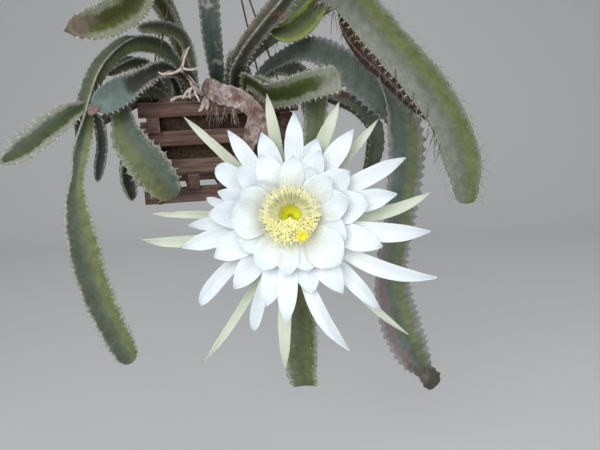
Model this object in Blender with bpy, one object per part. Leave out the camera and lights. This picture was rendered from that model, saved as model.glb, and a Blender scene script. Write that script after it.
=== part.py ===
"""Hanging slatted wooden basket with a night-blooming cactus in flower, as plain solids.

Metres, +Z up. The origin is the point where the hook bears on what holds it, and the
flower faces -Y. A route is a list of points chosen by hand, in millimetres from the middle
of the basket's rim, and its fourth value is the reach from the middle line to a rib's crest.
"""
import math
import random

import bmesh
import bpy
from mathutils import Matrix, Vector

MM = 0.001
GAP = 0.3
SEED = 7

# Basket, in millimetres
RIM_DROP = 400
BASKET_TURN = math.radians(12)
SLAT_LENGTH = 206
SLAT_WIDTH = 16
LAYER_HEIGHT = 18.5
LAYER_COUNT = 7
CROSSING = 85
FLOOR_SLAT_PLACES = (-40, 0, 40)

# Hanger, in millimetres
WIRE_RADIUS = 1.2
WIRE_HOLE_RADIUS = 1.8
WIRE_FOOT = 8
WIRE_TAIL = 6
WIRE_BEND = 4.3
ROD_RADIUS = 2.5
CROOK_RADIUS = 13.5
RING_RADIUS = 14
RING_DROP = 77
RING_WIRE_ANGLES = {(-1, 1): -36, (-1, -1): -12, (1, -1): 12, (1, 1): 36}

# Soil and roots, in millimetres
SOIL_TOP = -12
ROOT_FOOT = -40
ROOT_TOP = -12
ROOT_REACH = 7.5
ROOT_HOLE_RADIUS = 10.2

# Stems, in millimetres
STATION = 16.5
BARK_LENGTH = 30
BRANCH_BARK_LENGTH = -25
BARK_FADE = 25
BARK_VALLEY = 0.88
RIB_VALLEY = 0.3
DRY_VALLEY = 0.16
TOOTH_DIP = 0.84
SPINE_LENGTH = 8
SPINE_RADIUS = 0.8
SPINE_SINK = 3
SPINE_STEP = 3
SPINE_START = 12
AERIAL_ROOT_STATION = 14

# Flower, in millimetres: its middle, measured from the rim's middle, and its parts
FLOWER_MIDDLE = Vector((107, -300, -109))
FLOWER_LIFT = math.radians(12.5)
MOUTH_SIDES = 16
TUBE_SIDES = 10
TUBE_BACK = -74
TUBE_MOUTH = -68
TUBE_OUTER = 17.5
TUBE_INNER = 14.3
COLLAR_OUTER = 13.7
COLLAR_INNER = 9
COLLAR_FRONT = -59
STAMEN_OUTER = 8.6
STAMEN_INNER = 3.5
STAMEN_FRONT = -57
STAMEN_COUNT = 56
GOLDEN_ANGLE = 137.5
FILAMENT_REACH = 30
FILAMENT_ROOTS = (4.3, 7.6)
FILAMENT_SINK = 2.5
FILAMENT_RADIUS = 0.5
ANTHER_RADIUS = 0.95
BRUSH_DEPTH = 16
BRUSH_FRONT = 11
STYLE_SIDE_DEPTH = 9
STYLE_RADIUS = 1.7
STYLE_SIDE = math.radians(-59)
STIGMA_LOBES = 8
LOBE_LENGTH = 5
LOBE_SPREAD = 6
LOBE_RADIUS = 1.1
BLADE_THICKNESS = 1.3
BLADE_CHANNEL = 0.22
GOLDEN_SHARE = 0.618
LAYER_SPREAD = 8
PETAL_LEAN = 0.15
SCALE_COUNT = 12
SCALE_LENGTH = 11
SCALE_SPREAD = 5
SCALE_SINK = 2
SCALE_RADIUS = 2.4

# Each whorl of the flower: where its blades start, how far forward they rise and how fast
WHORLS = {
    "inner": dict(start=12, back=-61, rise=79, ease=28, broad=True),
    "middle": dict(start=12, back=-63.5, rise=66, ease=32, broad=True),
    "outer": dict(start=12, back=-66, rise=53, ease=34, broad=False),
    "sepal": dict(start=15.5, back=-71, rise=34, ease=45, broad=False),
}

# Blades: whorl, the tip's angle in degrees from +X and its radius, width, and how far the
# blade has swung sideways from its root to its tip, in degrees
PETALS = [
    ("inner", 113, 70, 27, 0), ("inner", 85, 62, 25, 0), ("inner", 65, 55, 27, 0),
    ("inner", 42, 57, 30, 0), ("inner", 14, 62, 33, 0), ("inner", -22, 62, 35, 0),
    ("inner", -45, 70, 42, 0), ("inner", -71, 59, 30, 0), ("inner", -95, 60, 24, 0),
    ("inner", -122, 62, 31, 0), ("inner", -150, 60, 33, 0), ("inner", 180, 61, 42, 0),
    ("inner", 155, 57, 31, 0), ("inner", 132, 50, 30, 0),
    ("middle", 134, 74, 26, 0), ("middle", 64, 75, 26, 0), ("middle", 35, 77, 31, 0),
    ("middle", 8, 82, 35, 0), ("middle", -20, 100, 26, 0), ("middle", -57, 95, 26, 0),
    ("middle", -75, 82, 28, 0), ("middle", -94, 109, 21, 0), ("middle", -107, 95, 25, 0),
    ("middle", -130, 94, 26, 0), ("middle", -154, 88, 29, 0), ("middle", 176, 84, 28, 0),
    ("middle", 159, 79, 21, 0),
    ("outer", 124, 112, 17, 0), ("outer", 107, 94, 23, 0), ("outer", 86, 109, 20, 2),
    ("outer", 69, 87, 26, 0), ("outer", 52, 114, 21, 0), ("outer", 25, 136, 18, 0),
    ("outer", 10, 115, 23, 0), ("outer", -8, 149, 20, 6), ("outer", -24.5, 167, 17, 12),
    ("outer", -48, 138, 17, 0), ("outer", -68, 154, 16, 12), ("outer", -110, 126, 14, 4),
    ("outer", -138, 133, 16, 6), ("outer", -166, 118, 20, 0), ("outer", -177, 109, 15, 0),
    ("outer", 166, 90, 10, -5), ("outer", 144, 94, 23, 0),
]
SEPALS = [
    ("sepal", 135, 158, 10, 0), ("sepal", 99, 136, 13, 0), ("sepal", 65, 135, 15, 0),
    ("sepal", 46, 142, 10, 2), ("sepal", 8, 154, 14, 12), ("sepal", -47, 181, 9, 5),
    ("sepal", -94, 167, 15, 2), ("sepal", -123, 185, 10, -4), ("sepal", -173, 164, 13, -8),
    ("sepal", 177, 150, 8, 0),
]
# Half widths along a blade, as shares of its full half width
BROAD_OUTLINE = [(0, 0.30), (0.33, 0.72), (0.68, 1.0), (0.9, 0.74), (1, 0.16)]
NARROW_OUTLINE = [(0, 0.5), (0.3, 0.72), (0.65, 1.0), (0.86, 0.64), (1, 0.06)]

# The tube of the flower, from its seat on the old stem to the flower's axis, with radii
TUBE_ROUTE = [(88, -184, -61, 6.5), (90, -186, -84, 6.8), (96, -194, -106, 7.4),
              (103, -208, -120, 8.4), (107, -221, -126, 9.4)]


def rooted(x, y):
    """The lowest points of a stem that stands in the soil at x, y."""
    middle = (ROOT_FOOT + ROOT_TOP) / 2
    return [(x, y, z, ROOT_REACH) for z in (ROOT_FOOT, middle, ROOT_TOP)]


# Stems by name: routes, the first one from the root, and the others from inside it
STEMS = {
    "stem_left_trail": [
        rooted(-40, -8) + [(-42, -11, 22, 9), (-50, -22, 52, 12), (-64, -44, 72, 13),
                           (-84, -95, 76, 14), (-105, -120, 61, 14), (-121, -141, 37, 14),
                           (-129, -163, 6, 13), (-133, -174, -22, 13), (-138, -180, -50, 12),
                           (-144, -181, -76, 9), (-149, -181, -100, 14),
                           (-150, -180, -130, 20), (-147, -179, -165, 23),
                           (-143, -178, -198, 24), (-134, -177, -236, 23),
                           (-123, -175, -271, 22), (-111, -173, -303, 19),
                           (-103, -172, -321, 10)],
        [(-129, -163, 4, 6), (-148, -181, -4, 15), (-172, -200, -21, 17),
         (-196, -214, -41, 14), (-215, -222, -53, 4)],
        [(-128, -163, -2, 5), (-118, -151, -18, 8), (-115, -148, -46, 8),
         (-121, -150, -70, 8), (-127, -152, -90, 4)],
    ],
    "stem_left_pad": [
        rooted(-34, -42) + [(-36, -50, 10, 8), (-40, -74, 34, 9), (-50, -106, 41, 11),
                            (-64, -138, 34, 13), (-82, -166, 22, 18), (-98, -188, 12, 20),
                            (-112, -204, 3, 13)],
    ],
    "stem_left_mid": [
        rooted(-60, -20) + [(-66, -30, 12, 8), (-74, -52, 41, 10), (-86, -80, 52, 11),
                            (-100, -100, 48, 11), (-116, -114, 38, 6)],
    ],
    "stem_left_old": [
        rooted(-54, -46) + [(-60, -50, 2, 7), (-84, -66, 2, 7), (-112, -84, -10, 7),
                            (-136, -98, -23, 6)],
    ],
    "stem_upper_left": [
        rooted(-34, 30) + [(-36, 31, 30, 9), (-44, 30, 80, 15), (-56, 16, 122, 18),
                           (-70, -14, 150, 22), (-80, -52, 160, 24), (-72, -103, 140, 25),
                           (-76, -148, 114, 25),
                           (-97, -192, 95, 24), (-122, -228, 86, 13)],
    ],
    "stem_short_left": [
        rooted(-26, 12) + [(-27, 11, 30, 8), (-32, 8, 66, 11), (-42, -4, 88, 11),
                           (-62, -26, 96, 12), (-88, -46, 95, 7)],
    ],
    "stem_dry": [
        rooted(-14, -30) + [(-15, -40, 8, 8), (-18, -70, 27, 11), (-19, -105, 34, 16),
                            (-17, -140, 38, 23), (-16, -163, 40, 27)],
    ],
    "stem_upright": [
        rooted(14, -40) + [(13, -45, 14, 9), (12, -62, 45, 14), (10, -74, 82, 17),
                           (9, -78, 122, 18), (6, -72, 168, 17), (4, -66, 196, 7)],
    ],
    "stem_rising": [
        rooted(32, -22) + [(34, -34, 12, 9), (40, -66, 36, 13), (45, -90, 47, 14),
                           (60, -108, 68, 15), (82, -120, 92, 16), (110, -128, 121, 16),
                           (133, -132, 150, 7)],
    ],
    "stem_arch_right": [
        rooted(30, 12) + [(32, 11, 20, 9), (46, 0, 46, 12), (72, -14, 72, 17),
                          (105, -22, 96, 22), (140, -48, 114, 25), (166, -92, 125, 28),
                          (182, -142, 118, 30), (197, -182, 96, 30), (226, -200, 59, 30),
                          (258, -210, 21, 31), (286, -214, -22, 30), (303, -214, -70, 28),
                          (310, -210, -121, 14)],
        [(174, -112, 122, 6), (177, -126, 96, 9), (181, -140, 78, 12), (196, -157, 54, 14),
         (222, -172, 28, 15), (250, -178, -1, 14), (275, -180, -28, 6)],
        [(163, -86, 124, 6), (151, -91, 114, 15), (133, -90, 94, 19), (113, -88, 82, 18),
         (88, -86, 81, 7)],
    ],
    "stem_spiny_right": [
        rooted(52, -48) + [(54, -58, 8, 9), (58, -84, 24, 12), (72, -114, 20, 15),
                           (90, -142, 10, 18), (110, -172, 12, 19), (133, -198, 20, 20),
                           (168, -214, 28, 19)],
    ],
    "stem_right_trail": [
        rooted(54, 8) + [(60, 6, 12, 8), (80, -4, 36, 10), (104, -22, 49, 13),
                          (130, -50, 58, 16), (153, -82, 57, 21), (178, -112, 42, 26),
                          (208, -138, 17, 27), (233, -153, -15, 26), (241, -158, -48, 30),
                          (241, -158, -85, 30), (237, -157, -125, 28), (231, -155, -170, 26),
                          (227, -154, -205, 26), (229, -152, -243, 29), (237, -151, -281, 31),
                          (250, -150, -319, 29), (269, -149, -350, 22), (287, -148, -378, 11)],
    ],
    "stem_right_inner": [
        rooted(64, -8) + [(69, -10, 4, 8), (98, -26, 11, 9), (130, -48, 8, 11),
                          (160, -68, 0, 13), (192, -90, -14, 14), (214, -100, -40, 14),
                          (213, -100, -76, 14), (201, -98, -115, 6)],
    ],
    "stem_front_hanger": [
        rooted(68, -34) + [(76, -36, 2, 8), (98, -42, 12, 9), (120, -66, 22, 11),
                           (134, -100, 22, 15), (142, -130, 4, 19), (142, -148, -27, 18),
                           (135, -153, -78, 17), (122, -155, -153, 17),
                           (112, -155, -237, 19), (118, -155, -275, 24),
                           (117, -155, -310, 27), (116, -155, -344, 26),
                           (120, -155, -368, 21)],
    ],
    "stem_woody": [
        rooted(-2, -58) + [(0, -64, 4, 8), (5, -88, 13, 9), (14, -118, 16, 13),
                           (30, -148, 10, 15), (58, -168, 2, 14), (78, -180, -20, 12),
                           (86, -184, -47, 10), (88, -184, -60, 8)],
        [(70, -174, -8, 5), (66, -181, -24, 10), (62, -186, -42, 11), (57, -188, -60, 5)],
    ],
    "stem_front_pad": [
        rooted(-47, -72) + [(-50, -74, 2, 8), (-62, -80, 13, 9), (-78, -90, 16, 10),
                            (-92, -110, 12, 10), (-94, -130, 0, 12), (-92, -146, -12, 15),
                            (-88, -154, -22, 18), (-84, -157, -36, 24), (-73, -160, -54, 29),
                            (-57, -161, -75, 30), (-44, -161, -95, 25),
                            (-33, -160, -111, 13)],
        [(-78, -156, -40, 8), (-90, -145, -58, 10), (-96, -141, -78, 14),
         (-96, -140, -98, 14), (-91, -139, -118, 6)],
    ],
    "stem_back_left": [
        rooted(-44, 52) + [(-48, 56, 20, 12), (-62, 84, 44, 18), (-76, 118, 26, 19),
                           (-82, 132, -20, 19), (-84, 134, -78, 7)],
    ],
    "stem_back_middle": [
        rooted(16, 54) + [(18, 58, 20, 12), (26, 88, 48, 17), (34, 122, 30, 19),
                          (38, 134, -22, 19), (40, 136, -92, 7)],
    ],
    "stem_back_right": [
        rooted(54, 42) + [(62, 46, 18, 12), (92, 60, 40, 17), (122, 78, 22, 19),
                          (136, 84, -26, 19), (140, 86, -88, 7)],
    ],
}
# Stems whose whole length is corky and round, and how far each route's section is rolled
CORKY_STEMS = {"stem_left_old": 1000, "stem_woody": 110}
STEM_ROLLS = {
    "stem_left_pad": (60,), "stem_upper_left": (60,),
    "stem_dry": (70,), "stem_arch_right": (20, 0, 0), "stem_spiny_right": (30,),
    "stem_right_trail": (50,), "stem_front_pad": (90, 90),
}
# A stem that twists: by how many degrees, and between which shares of its length
STEM_TWISTS = {"stem_left_trail": (60, 0.46, 0.58), "stem_right_trail": (60, 0.34, 0.48)}
# Aerial roots that hang from the old stem
AERIAL_ROOTS = [
    [(8, -112, 12, 1.4), (4, -118, 0, 1.1), (2, -120, -16, 0.7)],
    [(16, -120, 10, 1.4), (14, -126, -4, 1.1), (9, -127, -28, 0.6)],
    [(24, -138, 6, 1.6), (21, -143, -10, 1.2), (24, -145, -26, 0.7)],
    [(34, -148, 2, 1.5), (32, -155, -10, 1.1), (28, -158, -22, 0.7)],
    [(46, -160, 0, 1.5), (43, -167, -13, 1.1), (45, -169, -27, 0.6)],
]

MATERIALS = {
    "slat_wood": ((0.30, 0.17, 0.13), 0.85, 0.0),
    "hanger_steel": ((0.20, 0.17, 0.15), 0.55, 0.9),
    "soil": ((0.05, 0.035, 0.025), 0.95, 0.0),
    "stem_green": ((0.25, 0.36, 0.17), 0.6, 0.0),
    "old_stem_brown": ((0.38, 0.22, 0.12), 0.85, 0.0),
    "dry_stem_tan": ((0.55, 0.45, 0.34), 0.85, 0.0),
    "petal_white": ((0.88, 0.90, 0.86), 0.45, 0.0),
    "sepal_green": ((0.56, 0.64, 0.38), 0.5, 0.0),
    "stamen_yellow": ((0.90, 0.80, 0.25), 0.6, 0.0),
    "stigma_orange": ((0.88, 0.62, 0.15), 0.6, 0.0),
}


def clear_scene():
    """Remove every object of the open scene."""
    for obj in list(bpy.data.objects):
        bpy.data.objects.remove(obj, do_unlink=True)


def make_collection(name):
    """A new collection, linked to the scene."""
    collection = bpy.data.collections.new(name)
    bpy.context.scene.collection.children.link(collection)
    return collection


def make_material(name):
    """A Principled material with the colour, roughness and metallic value of MATERIALS."""
    colour, roughness, metallic = MATERIALS[name]
    material = bpy.data.materials.new(name)
    material.use_nodes = True
    shader = material.node_tree.nodes["Principled BSDF"]
    shader.inputs["Base Color"].default_value = (*colour, 1)
    shader.inputs["Roughness"].default_value = roughness
    shader.inputs["Metallic"].default_value = metallic
    material.diffuse_color = (*colour, 1)
    return material


def from_rim(point):
    """A point in millimetres from the rim's middle, as metres from the hook."""
    return Vector((point[0], point[1], point[2] - RIM_DROP)) * MM


def basket_matrix():
    """The basket's own axes: its turn about the vertical, at the rim's middle."""
    return Matrix.Translation((0, 0, -RIM_DROP * MM)) @ Matrix.Rotation(BASKET_TURN, 4, "Z")


def add_object(name, mesh, collection, material=None):
    """An object for the mesh, in the collection, with the material."""
    obj = bpy.data.objects.new(name, mesh)
    collection.objects.link(obj)
    if material is not None and not mesh.materials:
        mesh.materials.append(material)
    return obj


def mesh_from(bm, name):
    """A mesh of the bmesh with its faces turned outward."""
    bmesh.ops.recalc_face_normals(bm, faces=bm.faces)
    mesh = bpy.data.meshes.new(name)
    bm.to_mesh(mesh)
    bm.free()
    return mesh


def box_mesh(name, size):
    """A box of the size in millimetres, about its own middle."""
    bm = bmesh.new()
    bmesh.ops.create_cube(bm, size=1)
    bmesh.ops.scale(bm, vec=Vector(size) * MM, verts=bm.verts)
    return mesh_from(bm, name)


def prism_mesh(name, radius, depth, sides, tip_radius=None):
    """A prism or a blunt cone along +Z, in millimetres, about its own middle."""
    bm = bmesh.new()
    end = radius if tip_radius is None else tip_radius
    bmesh.ops.create_cone(bm, cap_ends=True, segments=sides, radius1=radius * MM,
                          radius2=end * MM, depth=depth * MM)
    return mesh_from(bm, name)


def smooth_route(points, step):
    """Points of any length at even spacing along a smooth curve through the given ones."""
    knots = [Vector(point) for point in points]
    knots = [2 * knots[0] - knots[1]] + knots + [2 * knots[-1] - knots[-2]]
    fine = []
    pieces = 12
    for before, start, end, after in zip(knots, knots[1:], knots[2:], knots[3:]):
        for piece in range(pieces):
            t = piece / pieces
            fine.append(0.5 * (2 * start + (end - before) * t
                               + (2 * before - 5 * start + 4 * end - after) * t * t
                               + (3 * start - before - 3 * end + after) * t ** 3))
    fine.append(knots[-2])
    lengths = [0.0]
    for start, end in zip(fine, fine[1:]):
        lengths.append(lengths[-1] + (end.xyz - start.xyz).length)
    count = max(2, round(lengths[-1] / step))
    result = []
    index = 0
    for station in range(count + 1):
        target = lengths[-1] * station / count
        while index < len(fine) - 2 and lengths[index + 1] < target:
            index += 1
        span = lengths[index + 1] - lengths[index]
        share = (target - lengths[index]) / span if span else 0
        result.append(fine[index].lerp(fine[index + 1], share))
    return result


def carried_frames(points):
    """For each point the direction of travel and two crosswise axes, carried without twist."""
    frames = []
    side = None
    for index, point in enumerate(points):
        ahead = points[min(index + 1, len(points) - 1)].xyz
        behind = points[max(index - 1, 0)].xyz
        travel = (ahead - behind).normalized()
        if side is None:
            side = travel.orthogonal().normalized()
            if abs(travel.z) > 0.9:
                side = Vector((1, 0, 0))
        side = (side - travel * side.dot(travel)).normalized()
        frames.append((travel, side, travel.cross(side)))
    return frames


def loft_mesh(name, rings):
    """A closed mesh through rings of equal count, with a flat face at each end."""
    bm = bmesh.new()
    loops = [[bm.verts.new(point) for point in ring] for ring in rings]
    count = len(loops[0])
    for lower, upper in zip(loops, loops[1:]):
        for index in range(count):
            after = (index + 1) % count
            bm.faces.new((lower[index], lower[after], upper[after], upper[index]))
    bm.faces.new(list(reversed(loops[0])))
    bm.faces.new(loops[-1])
    bmesh.ops.triangulate(bm, faces=bm.faces)
    return mesh_from(bm, name)


def cone_between(name, base, tip, base_radius, tip_radius, collection, sides=3):
    """A slim cone from base to tip, both in metres, with radii in millimetres."""
    travel = tip - base
    mesh = prism_mesh(name, base_radius, travel.length / MM, sides, tip_radius)
    obj = add_object(name, mesh, collection)
    turn = travel.to_track_quat("Z", "Y").to_matrix().to_4x4()
    obj.matrix_world = Matrix.Translation((base + tip) / 2) @ turn
    return obj


def apply_union(obj, repeats, solver="MANIFOLD"):
    """Join a collection's objects to the object in one Boolean, then remove them."""
    if repeats.objects:
        bpy.context.view_layer.update()
        union = obj.modifiers.new("Union", "BOOLEAN")
        union.operation = "UNION"
        union.operand_type = "COLLECTION"
        union.collection = repeats
        union.solver = solver
        settle_modifiers(obj)
        keep_outer_body(obj.data)
    for repeat in list(repeats.objects):
        mesh = repeat.data
        bpy.data.objects.remove(repeat, do_unlink=True)
        bpy.data.meshes.remove(mesh)
    bpy.data.collections.remove(repeats)


def keep_outer_body(mesh):
    """Keep a mesh's largest shell, which fills sealed hollows and drops loose scraps."""
    bm = bmesh.new()
    bm.from_mesh(mesh)
    waiting = set(bm.verts)
    shells = []
    while waiting:
        shell = set()
        front = [waiting.pop()]
        while front:
            vert = front.pop()
            shell.add(vert)
            for edge in vert.link_edges:
                other = edge.other_vert(vert)
                if other in waiting:
                    waiting.discard(other)
                    front.append(other)
        shells.append(shell)
    shells.sort(key=shell_span, reverse=True)
    loose = [vert for shell in shells[1:] for vert in shell]
    bmesh.ops.delete(bm, geom=loose, context="VERTS")
    bm.to_mesh(mesh)
    bm.free()


def shell_span(shell):
    """The summed extent of a set of vertices along the three axes."""
    spans = [[vert.co[axis] for vert in shell] for axis in range(3)]
    return sum(max(values) - min(values) for values in spans)


def settle_modifiers(obj):
    """Replace the object's mesh with its evaluated one."""
    depsgraph = bpy.context.evaluated_depsgraph_get()
    material = obj.data.materials[0] if obj.data.materials else None
    mesh = bpy.data.meshes.new_from_object(obj.evaluated_get(depsgraph))
    obj.modifiers.clear()
    obj.data = mesh
    mesh.materials.clear()
    if material is not None:
        mesh.materials.append(material)


def cut(obj, cutters, name):
    """Cut the object with a collection of hidden cutters."""
    for cutter in cutters.objects:
        cutter.hide_render = True
        cutter.display_type = "WIRE"
    bore = obj.modifiers.new(name, "BOOLEAN")
    bore.operation = "DIFFERENCE"
    bore.operand_type = "COLLECTION"
    bore.collection = cutters


def layer_middle(layer):
    """Height of the middle of a slat in a layer, in millimetres from the rim."""
    return -(layer + 0.5) * LAYER_HEIGHT - GAP / 2


def place_in_basket(obj, x, y, z, turned=False):
    """Set an object at x, y, z in the basket's axes, turned a quarter if asked."""
    quarter = Matrix.Rotation(math.radians(90), 4, "Z") if turned else Matrix()
    obj.matrix_world = basket_matrix() @ Matrix.Translation(Vector((x, y, z)) * MM) @ quarter


def build_slats(parts, wood):
    """Seven crossed layers of slats, drilled at the corners, and three floor slats."""
    size = (SLAT_LENGTH, SLAT_WIDTH, LAYER_HEIGHT - GAP)
    drilled = add_object("slat_blank", box_mesh("slat", size), parts, wood)
    drills = make_collection("slat_drills")
    for side in (-1, 1):
        drill = add_object("drill", prism_mesh("drill", WIRE_HOLE_RADIUS, 30, 6), drills)
        drill.location = (side * CROSSING * MM, 0, 0)
    cut(drilled, drills, "Wire holes")
    bpy.context.view_layer.update()
    settle_modifiers(drilled)
    remove_collection(drills)
    mesh = drilled.data
    bpy.data.objects.remove(drilled, do_unlink=True)
    for layer in range(LAYER_COUNT):
        across = layer % 2 == 0
        names = ("front", "back") if across else ("left", "right")
        for name, side in zip(names, (-1, 1)):
            slat = add_object(f"slat_{name}_{layer // 2 + 1}", mesh, parts)
            x, y = (0, side * CROSSING) if across else (side * CROSSING, 0)
            place_in_basket(slat, x, y, layer_middle(layer), turned=not across)
    floor_mesh = box_mesh("floor_slat", size)
    for index, x in enumerate(FLOOR_SLAT_PLACES):
        slat = add_object(f"slat_floor_{index + 1}", floor_mesh, parts, wood)
        place_in_basket(slat, x, 0, layer_middle(LAYER_COUNT - 2), turned=True)


def remove_collection(collection):
    """Remove a helper collection with its objects."""
    for obj in list(collection.objects):
        bpy.data.objects.remove(obj, do_unlink=True)
    bpy.data.collections.remove(collection)


def build_soil(parts, material):
    """The soil block between slats and floor, with a plain hole for each stem."""
    bottom = -(LAYER_COUNT - 2) * LAYER_HEIGHT
    width = 2 * (CROSSING - SLAT_WIDTH / 2 - GAP)
    height = SOIL_TOP - bottom
    soil = add_object("soil", box_mesh("soil", (width, width, height)), parts, material)
    place_in_basket(soil, 0, 0, (SOIL_TOP + bottom) / 2)
    holes = make_collection("root_holes")
    for routes in STEMS.values():
        x, y, foot, _reach = routes[0][0]
        hole = add_object("root_hole", prism_mesh("root_hole", ROOT_HOLE_RADIUS, 60, 6), holes)
        hole.location = from_rim((x, y, foot - GAP + 30))
    cut(soil, holes, "Root holes")
    bpy.context.view_layer.update()
    settle_modifiers(soil)
    remove_collection(holes)


def curve_object(name, points, radius, parts, material, resolution=2):
    """A wire or rod: a polyline curve in metres with a round bevel and filled caps."""
    curve = bpy.data.curves.new(name, "CURVE")
    curve.dimensions = "3D"
    curve.bevel_depth = radius * MM
    curve.bevel_resolution = resolution
    curve.use_fill_caps = True
    spline = curve.splines.new("POLY")
    spline.points.add(len(points) - 1)
    for target, point in zip(spline.points, points):
        target.co = (*point, 1)
    curve.materials.append(material)
    obj = bpy.data.objects.new(name, curve)
    parts.objects.link(obj)
    return obj


def build_wires(parts, material):
    """Four corner wires: a foot, a run up through the slats, and a bend over the ring."""
    bottom = -LAYER_COUNT * LAYER_HEIGHT - GAP - WIRE_RADIUS - 0.1
    names = {(-1, -1): "front_left", (1, -1): "front_right",
             (-1, 1): "back_left", (1, 1): "back_right"}
    for (sx, sy), angle in RING_WIRE_ANGLES.items():
        inner = CROSSING - WIRE_FOOT
        local = [(sx * inner, sy * inner, bottom), (sx * CROSSING, sy * CROSSING, bottom),
                 (sx * CROSSING, sy * CROSSING, 3)]
        points = [basket_matrix() @ (Vector(point) * MM) for point in local]
        phi = math.radians(angle)
        outward = Vector((math.sin(phi), 0, -math.cos(phi)))
        seat = Vector((0, 0, -RING_DROP)) + outward * RING_RADIUS
        beside = Vector((0, sy, 0))
        points.append((seat + outward * 14 + beside * WIRE_BEND) * MM)
        for degrees in range(0, 181, 30):
            a = math.radians(degrees)
            bend = beside * math.cos(a) - outward * math.sin(a)
            points.append((seat + bend * WIRE_BEND) * MM)
        points.append((seat + outward * WIRE_TAIL - beside * WIRE_BEND) * MM)
        curve_object(f"wire_{names[sx, sy]}", points, WIRE_RADIUS, parts, material)


def build_hook(parts, material):
    """A crook over a shank, joined to the ring that the four wires hang in."""
    middle = ROD_RADIUS - CROOK_RADIUS
    points = []
    for degrees in range(-20, 181, 20):
        a = math.radians(degrees)
        points.append((CROOK_RADIUS * math.cos(a), 0, middle + CROOK_RADIUS * math.sin(a)))
    points += [(-13, 0, -18), (-10, 0, -27), (-5, 0, -35), (-1.2, 0, -43), (0, 0, -51),
               (0, 0, -RING_DROP + RING_RADIUS)]
    rod = curve_object("hook_rod", [Vector(p) * MM for p in points], ROD_RADIUS, parts, material)
    bpy.context.view_layer.update()
    depsgraph = bpy.context.evaluated_depsgraph_get()
    mesh = bpy.data.meshes.new_from_object(rod.evaluated_get(depsgraph))
    bpy.data.objects.remove(rod, do_unlink=True)
    bm = bmesh.new()
    bm.from_mesh(mesh)
    bmesh.ops.remove_doubles(bm, verts=bm.verts, dist=0.01 * MM)
    bmesh.ops.recalc_face_normals(bm, faces=bm.faces)
    bm.to_mesh(mesh)
    bm.free()
    hook = add_object("hook", mesh, parts)
    bpy.ops.mesh.primitive_torus_add(
        major_radius=RING_RADIUS * MM, minor_radius=ROD_RADIUS * MM, major_segments=16,
        minor_segments=6, location=(0, 0, -RING_DROP * MM), rotation=(math.radians(90), 0, 0))
    ring = bpy.context.object
    ring_parts = make_collection("hook_ring")
    for collection in list(ring.users_collection):
        collection.objects.unlink(ring)
    ring_parts.objects.link(ring)
    apply_union(hook, ring_parts)


def round_rings(points, sides):
    """Rings of a plain tube through the points, as wide as their fourth values say."""
    turns = [2 * math.pi * side / sides for side in range(sides)]
    return [[from_rim(point.xyz + (side * math.cos(turn) + lift * math.sin(turn)) * point.w)
             for turn in turns]
            for point, (_travel, side, lift) in zip(points, carried_frames(points))]


def wing_rings(points, roll, twist, bark, channel):
    """Rings of a ribbed stem: three toothed ribs, round and smooth along its bark."""
    turned, low, high = twist
    rings = []
    travelled = 0.0
    for index, (point, frame) in enumerate(zip(points, carried_frames(points))):
        if index:
            travelled += (point.xyz - points[index - 1].xyz).length
        woody = min(1, max(0, 1 - (travelled - bark) / BARK_FADE))
        valley = channel + (BARK_VALLEY - channel) * woody
        dip = 1 if index % 2 == 0 else TOOTH_DIP + (1 - TOOTH_DIP) * woody
        _travel, side, lift = frame
        ring = []
        share = min(1, max(0, (index / (len(points) - 1) - low) / (high - low)))
        start = math.radians(roll + turned * share * share * (3 - 2 * share))
        for corner in range(6):
            a = start + math.radians(60) * corner
            reach = point.w * (dip if corner % 2 == 0 else valley)
            ring.append(from_rim(point.xyz + (side * math.cos(a) + lift * math.sin(a)) * reach))
        rings.append(ring)
    return rings


def add_spines(points, rings, bark, spines, draw):
    """Slim spines on the rib crests, spread over the ribs and out to the tip."""
    frames = carried_frames(points)
    travelled = 0.0
    for index in range(1, len(points)):
        travelled += (points[index].xyz - points[index - 1].xyz).length
        if index % 2 or travelled < bark + SPINE_START:
            continue
        middle = from_rim(points[index].xyz)
        for rib in range(3):
            if (index // 2 + rib) % SPINE_STEP:
                continue
            crest = rings[index][2 * rib]
            outward = (crest - middle).normalized()
            lean = frames[index][0] * draw.uniform(-0.3, 0.5)
            reach = (outward + lean).normalized()
            cone_between("spine", crest - reach * SPINE_SINK * MM,
                         crest + reach * SPINE_LENGTH * MM, SPINE_RADIUS, 0, spines)


def build_stems(parts, green, brown, tan):
    """Each stem with its branches, spines and aerial roots fused into one node."""
    draw = random.Random(SEED)
    for name, routes in STEMS.items():
        repeats = make_collection(f"{name}_repeats")
        material = {"stem_woody": brown, "stem_left_old": brown, "stem_dry": tan}.get(name, green)
        stem = None
        for number, route in enumerate(routes):
            bark = CORKY_STEMS.get(name, BARK_LENGTH) if number == 0 else BRANCH_BARK_LENGTH
            points = smooth_route(route, STATION)
            rolls = STEM_ROLLS.get(name, ())
            roll = rolls[number] if number < len(rolls) else 0
            twist = STEM_TWISTS.get(name, (0, 0, 1)) if number == 0 else (0, 0, 1)
            channel = DRY_VALLEY if name == "stem_dry" else RIB_VALLEY
            rings = wing_rings(points, roll, twist, bark, channel)
            target = parts if number == 0 else repeats
            body = add_object(name, loft_mesh(name, rings), target, material)
            stem = stem or body
            add_spines(points, rings, bark, repeats, draw)
        if name == "stem_woody":
            for route in AERIAL_ROOTS:
                rings = round_rings(smooth_route(route, AERIAL_ROOT_STATION), 3)
                add_object("aerial_root", loft_mesh("aerial_root", rings), repeats)
        apply_union(stem, repeats)


def flower_axes():
    """The flower's forward axis, and its right and up axes as seen from its front."""
    forward = Vector((0, -math.cos(FLOWER_LIFT), math.sin(FLOWER_LIFT)))
    right = Vector((1, 0, 0))
    return forward, right, forward.cross(right)


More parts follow.
